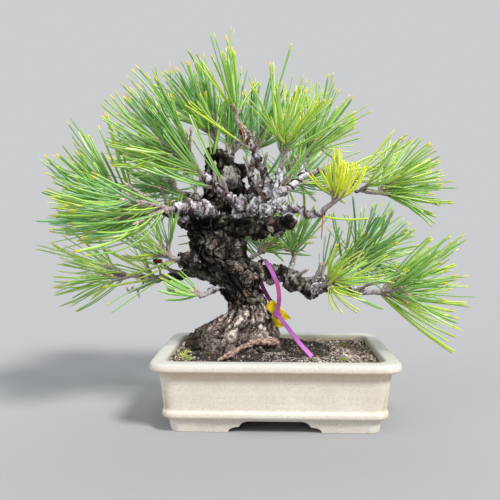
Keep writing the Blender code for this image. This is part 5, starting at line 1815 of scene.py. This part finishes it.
# The grower's wires, strap, tag and leaf

WIRE_RADIUS = 0.8
# Each wire: the limb, the shares of it where it starts and ends, the length of a turn, and its phase
WIRES = (
    ("bough_mid_right", 0.34, 0.97, 12.0, 0.4), ("riser_top", 0.10, 0.97, 11.0, 0.0),
    ("riser_top", 0.14, 0.97, 11.0, 0.9), ("riser_middle", 0.30, 0.9, 12.0, 1.0),
    ("riser_right", 0.30, 0.97, 11.0, 0.5), ("riser_far_right", 0.15, 0.97, 11.0, 1.5),
    ("bough_upper_left", 0.15, 0.97, 10.0, 0.2), ("bough_left_front", 0.40, 0.97, 10.5, 0.0),
    ("bough_left_mid", 0.40, 0.97, 12.0, 2.5), ("bough_back_left", 0.3, 0.97, 11.0, 0.8),
    ("bough_back_right", 0.3, 0.97, 11.0, 1.8),
)


def build_wires():
    """Training wire wound along the boughs."""
    heap = Heap()
    for name, first, last, turn_length, phase in WIRES:
        route, radii = crooked_course(name, 0.7)
        start, end = int(first * len(route)), int(last * len(route))
        across = unit(np.cross(unit(np.gradient(route, axis=0))[0], (0.0, 0.3, 1.0)))
        line = []
        along = 0.0
        for index, (side, up) in enumerate(carried(route, across)):
            if index:
                along += np.linalg.norm(route[index] - route[index - 1])
            if start <= index < end:
                angle = phase + 2 * math.pi * along / turn_length
                reach = radii[index] + WIRE_RADIUS * 0.75 + 0.35 * math.sin(angle * 1.7 + phase)
                line.append(route[index] + reach * (math.cos(angle) * side + math.sin(angle) * up))
        heap.add_tube(line, [WIRE_RADIUS] * len(line), 8, "wire")
    add_piece("training_wires", heap.mesh("training_wires"))


STRAP_WIDTH = 3.7
STRAP_THICK = 0.9
STRAP_LOCK = (1.9, -18.0, 90.7)
LOCK_SIZE = (6.4, 4.6, 6.4)
STRAP_LOOP = ((1.9, -17.5, 91), (3.7, -17, 102.7), (2.6, -16.6, 115), (-1.8, -15.8, 126),
              (-6.5, -11.5, 134.0), (-9.5, -3, 137.2), (-12.4, 6.5, 134.5), (-13.6, 9.6, 125),
              (-12.2, 10, 115), (-7.0, 8.5, 104), (-0.5, -2, 95.5), (1.2, -15.0, 91))
STRAP_TAIL = ((1.9, -18.5, 91), (10.0, -25.5, 81.5), (20.5, -35.5, 69.0))
STRAP_TAIL_END = (30.8, -45)


def ribbon_shape(route, width, thick, edge=0.25):
    """A strap along a route with softened edges, its broad side as near to X as the route lets it."""
    route = np.asarray(route, float)
    ways = unit(np.gradient(route, axis=0))
    across = unit(np.array((1.0, 0, 0)) - ways * ways[:, :1])
    out = np.cross(ways, across)
    half, deep = width / 2, thick / 2
    section = ((half, deep - edge), (half - edge, deep), (half * 0.55, deep), (half * 0.45, deep * 0.72),
               (-half * 0.45, deep * 0.72), (-half * 0.55, deep), (edge - half, deep), (-half, deep - edge),
               (-half, edge - deep), (edge - half, -deep), (half - edge, -deep), (half, edge - deep))
    return skin(np.stack([route + across * x + out * y for x, y in section], axis=1))


def build_strap(ground):
    """The plastic strap: its loop over the bough, its lock and its tail on the soil."""
    heap = Heap()
    heap.add(*ribbon_shape(smooth_route(STRAP_LOOP, 1.5), STRAP_WIDTH, STRAP_THICK), "strap")
    height = on_ground(ground, *STRAP_TAIL_END) + 1.6
    tail = smooth_route([*STRAP_TAIL, (*STRAP_TAIL_END, height)], 1.2)
    heap.add(*ribbon_shape(tail, STRAP_WIDTH, STRAP_THICK), "strap")
    mesh = heap.mesh("tie_strap_plastic")
    shape = bmesh.new()
    bmesh.ops.create_cube(shape, size=1.0)
    bmesh.ops.scale(shape, vec=Vector(LOCK_SIZE) * METRES, verts=shape.verts)
    bmesh.ops.bevel(shape, geom=shape.edges, offset=1.1 * METRES, segments=3, affect="EDGES")
    bmesh.ops.rotate(shape, verts=shape.verts, matrix=Quaternion((0, 1, 0), math.radians(-20)).to_matrix())
    bmesh.ops.translate(shape, verts=shape.verts, vec=Vector(STRAP_LOCK) * METRES)
    shape.from_mesh(mesh)
    bmesh.ops.recalc_face_normals(shape, faces=shape.faces)
    shape.to_mesh(mesh)
    shape.free()
    smooth_below(mesh, 40)
    add_piece("tie_strap_plastic", mesh, ["tie_strap"])


TAG_PLACE = (2.6, -12.2, 91.6)
TAG_TURN = (82, 42, -14)
TAG_HALF = 12.0
TAG_WIDTH = 10.0
FLAP_PLACE = (2.2, -13.0, 84.0)
FLAP_TURN = (88, 62, -20)


def folded_film(place, turn, half_length, width, thick, point):
    """A strip of film rolled to a tube at one end and pressed flat to a corner at the other."""
    rings = []
    sides = 28
    angles = round_angles(sides)
    cosines = np.sign(np.cos(angles)) * np.abs(np.cos(angles)) ** 0.75
    for share in np.linspace(0, 1, 26):
        rounding = math.sqrt(max(0.03, 1 - max(0.0, (0.10 - share) / 0.10) ** 2))
        half = width / 2 * rounding
        deep = max(0.4, thick * (1 - share) ** 1.3 * rounding)
        sharp = max(0.0, (share - 0.72) / 0.28)
        shift = 0.7 * half * sharp * point
        half = half * (1 - 0.85 * sharp * point)
        crease = 1.1 * math.sin(7.5 * share + 0.6)
        rings.append(np.stack([
            np.full(sides, 2 * half_length * (share - 0.5)), shift + half * cosines,
            deep * np.sin(angles) + crease * (0.3 + 0.7 * share) * (np.abs(np.cos(angles)) - 0.4)], axis=1))
    mesh = ring_mesh("tag_film", rings)
    matrix = Euler([math.radians(angle) for angle in turn]).to_matrix().to_4x4()
    matrix.translation = Vector(place) * METRES
    mesh.transform(matrix)
    return mesh


def build_tag():
    """The yellow tag: folded film held by the strap, with a shorter flap below the lock."""
    mesh = folded_film(TAG_PLACE, TAG_TURN, TAG_HALF, TAG_WIDTH, 2.6, 1.0)
    flap = folded_film(FLAP_PLACE, FLAP_TURN, 6.5, 7.5, 1.6, 0.5)
    with edited(mesh) as shape:
        shape.from_mesh(flap)
    smooth_below(mesh, 50)
    dress(mesh, "tag")
    add_piece("tag_film", mesh, ["tie_tag"])


LEAF_STALK = (-104.0, 7.0, 119.5)
DRY_LEAF = (-107, 1, 134)


def build_dry_leaf():
    """A dry red leaf caught on a short bare twig of the low left bough."""
    heap = Heap()
    chance = random.Random("dry leaf")
    foot = np.array(LEAF_STALK)
    top = np.array(DRY_LEAF, float)
    stalk = smooth_route([foot, (foot + top) / 2 + (2.0, -1.0, 0), top], 2.0)
    heap.add_tube(stalk, np.linspace(1.3, 0.5, len(stalk)), 7, "twig")
    for number in range(5):
        way = fanned((0.1, -0.3, 0.95), math.radians(25 + 12 * number), number * GOLDEN_TURN)
        length = chance.uniform(5, 8)
        across = unit(np.cross(way, (0.2, -1.0, 0.1)))
        out = np.cross(across, way)
        rings = []
        for share in np.linspace(0, 1, 7):
            half = 1.9 * math.sin(math.pi * (0.12 + 0.84 * share)) ** 0.8
            place = top + way * length * share + out * 2.0 * share ** 2
            curl = out * 0.9
            ring = [place - across * half + curl, place - across * half * 0.4, place + across * half * 0.4,
                    place + across * half + curl]
            ring += [point + out * 0.3 for point in reversed(ring)]
            rings.append(np.array(ring))
        heap.add(*skin(rings), "leaf")
    mesh = heap.mesh("dry_leaf")
    face_out(mesh)
    add_piece("dry_leaf", mesh)


# The stage

CAMERA_PLACE = (-2.0, -595.1, 171.6)
CAMERA_TURN = (math.pi / 2 - 0.0439, 0.0, 0.0338)
CAMERA_LENS = 48.1
FLOOR_HALF = 60.0
# Each light: the way to it, its strength, how wide it is in degrees, and its colour
LIGHTS = (
    ((0.70, -0.75, 1.05), 3.9, 14, (1.0, 0.975, 0.94)),
    ((-0.95, -0.70, 0.70), 0.8, 50, (0.95, 0.975, 1.0)),
    ((0.10, 0.85, 0.95), 0.9, 50, (1.0, 1.0, 1.0)),
)
AIR = (0.60, 0.61, 0.625)
FLOOR_TONE = (0.327, 0.335, 0.3465)


def build_stage():
    """The camera, the pale floor, the soft lights and the air."""
    camera = new_object("camera", bpy.data.cameras.new("camera"))
    camera.location = MIDDLE + Vector(CAMERA_PLACE) * METRES
    camera.rotation_euler = CAMERA_TURN
    camera.data.lens = CAMERA_LENS
    camera.data.sensor_width = 36
    bpy.context.scene.camera = camera
    floor = bpy.data.meshes.new("floor")
    corners = [(x * FLOOR_HALF, y * FLOOR_HALF, 0) for x, y in ((-1, -1), (1, -1), (1, 1), (-1, 1))]
    floor.from_pydata(corners, [], [(0, 1, 2, 3)])
    floor.materials.append(plain_finish("floor", FLOOR_TONE, 0.9, Specular_IOR_Level=0.0))
    new_object("floor", floor)
    for number, (way, strength, width, colour) in enumerate(LIGHTS):
        light = bpy.data.lights.new(f"light_{number}", "SUN")
        light.angle = math.radians(width)
        light.energy = strength
        light.color = colour
        lamp = new_object(f"light_{number}", light)
        lamp.location = way
        lamp.rotation_euler = Vector(way).to_track_quat("Z", "Y").to_euler()
    world = bpy.data.worlds.new("air")
    world.use_nodes = True
    world.node_tree.nodes["Background"].inputs["Color"].default_value = (*AIR, 1.0)
    bpy.context.scene.world = world
    bpy.context.scene.view_settings.view_transform = "Standard"


build_stage()
make_finishes()
build_pot()
GROUND = build_soil()
SOIL_CHANCE = random.Random("gravel 3")
scatter_gravel(GROUND, SOIL_CHANCE)
grow_moss(GROUND, SOIL_CHANCE)
lay_root_hairs(GROUND, SOIL_CHANCE)
build_wood()
build_dead_twig()
build_foliage()
build_wires()
build_strap(GROUND)
build_tag()
build_dry_leaf()
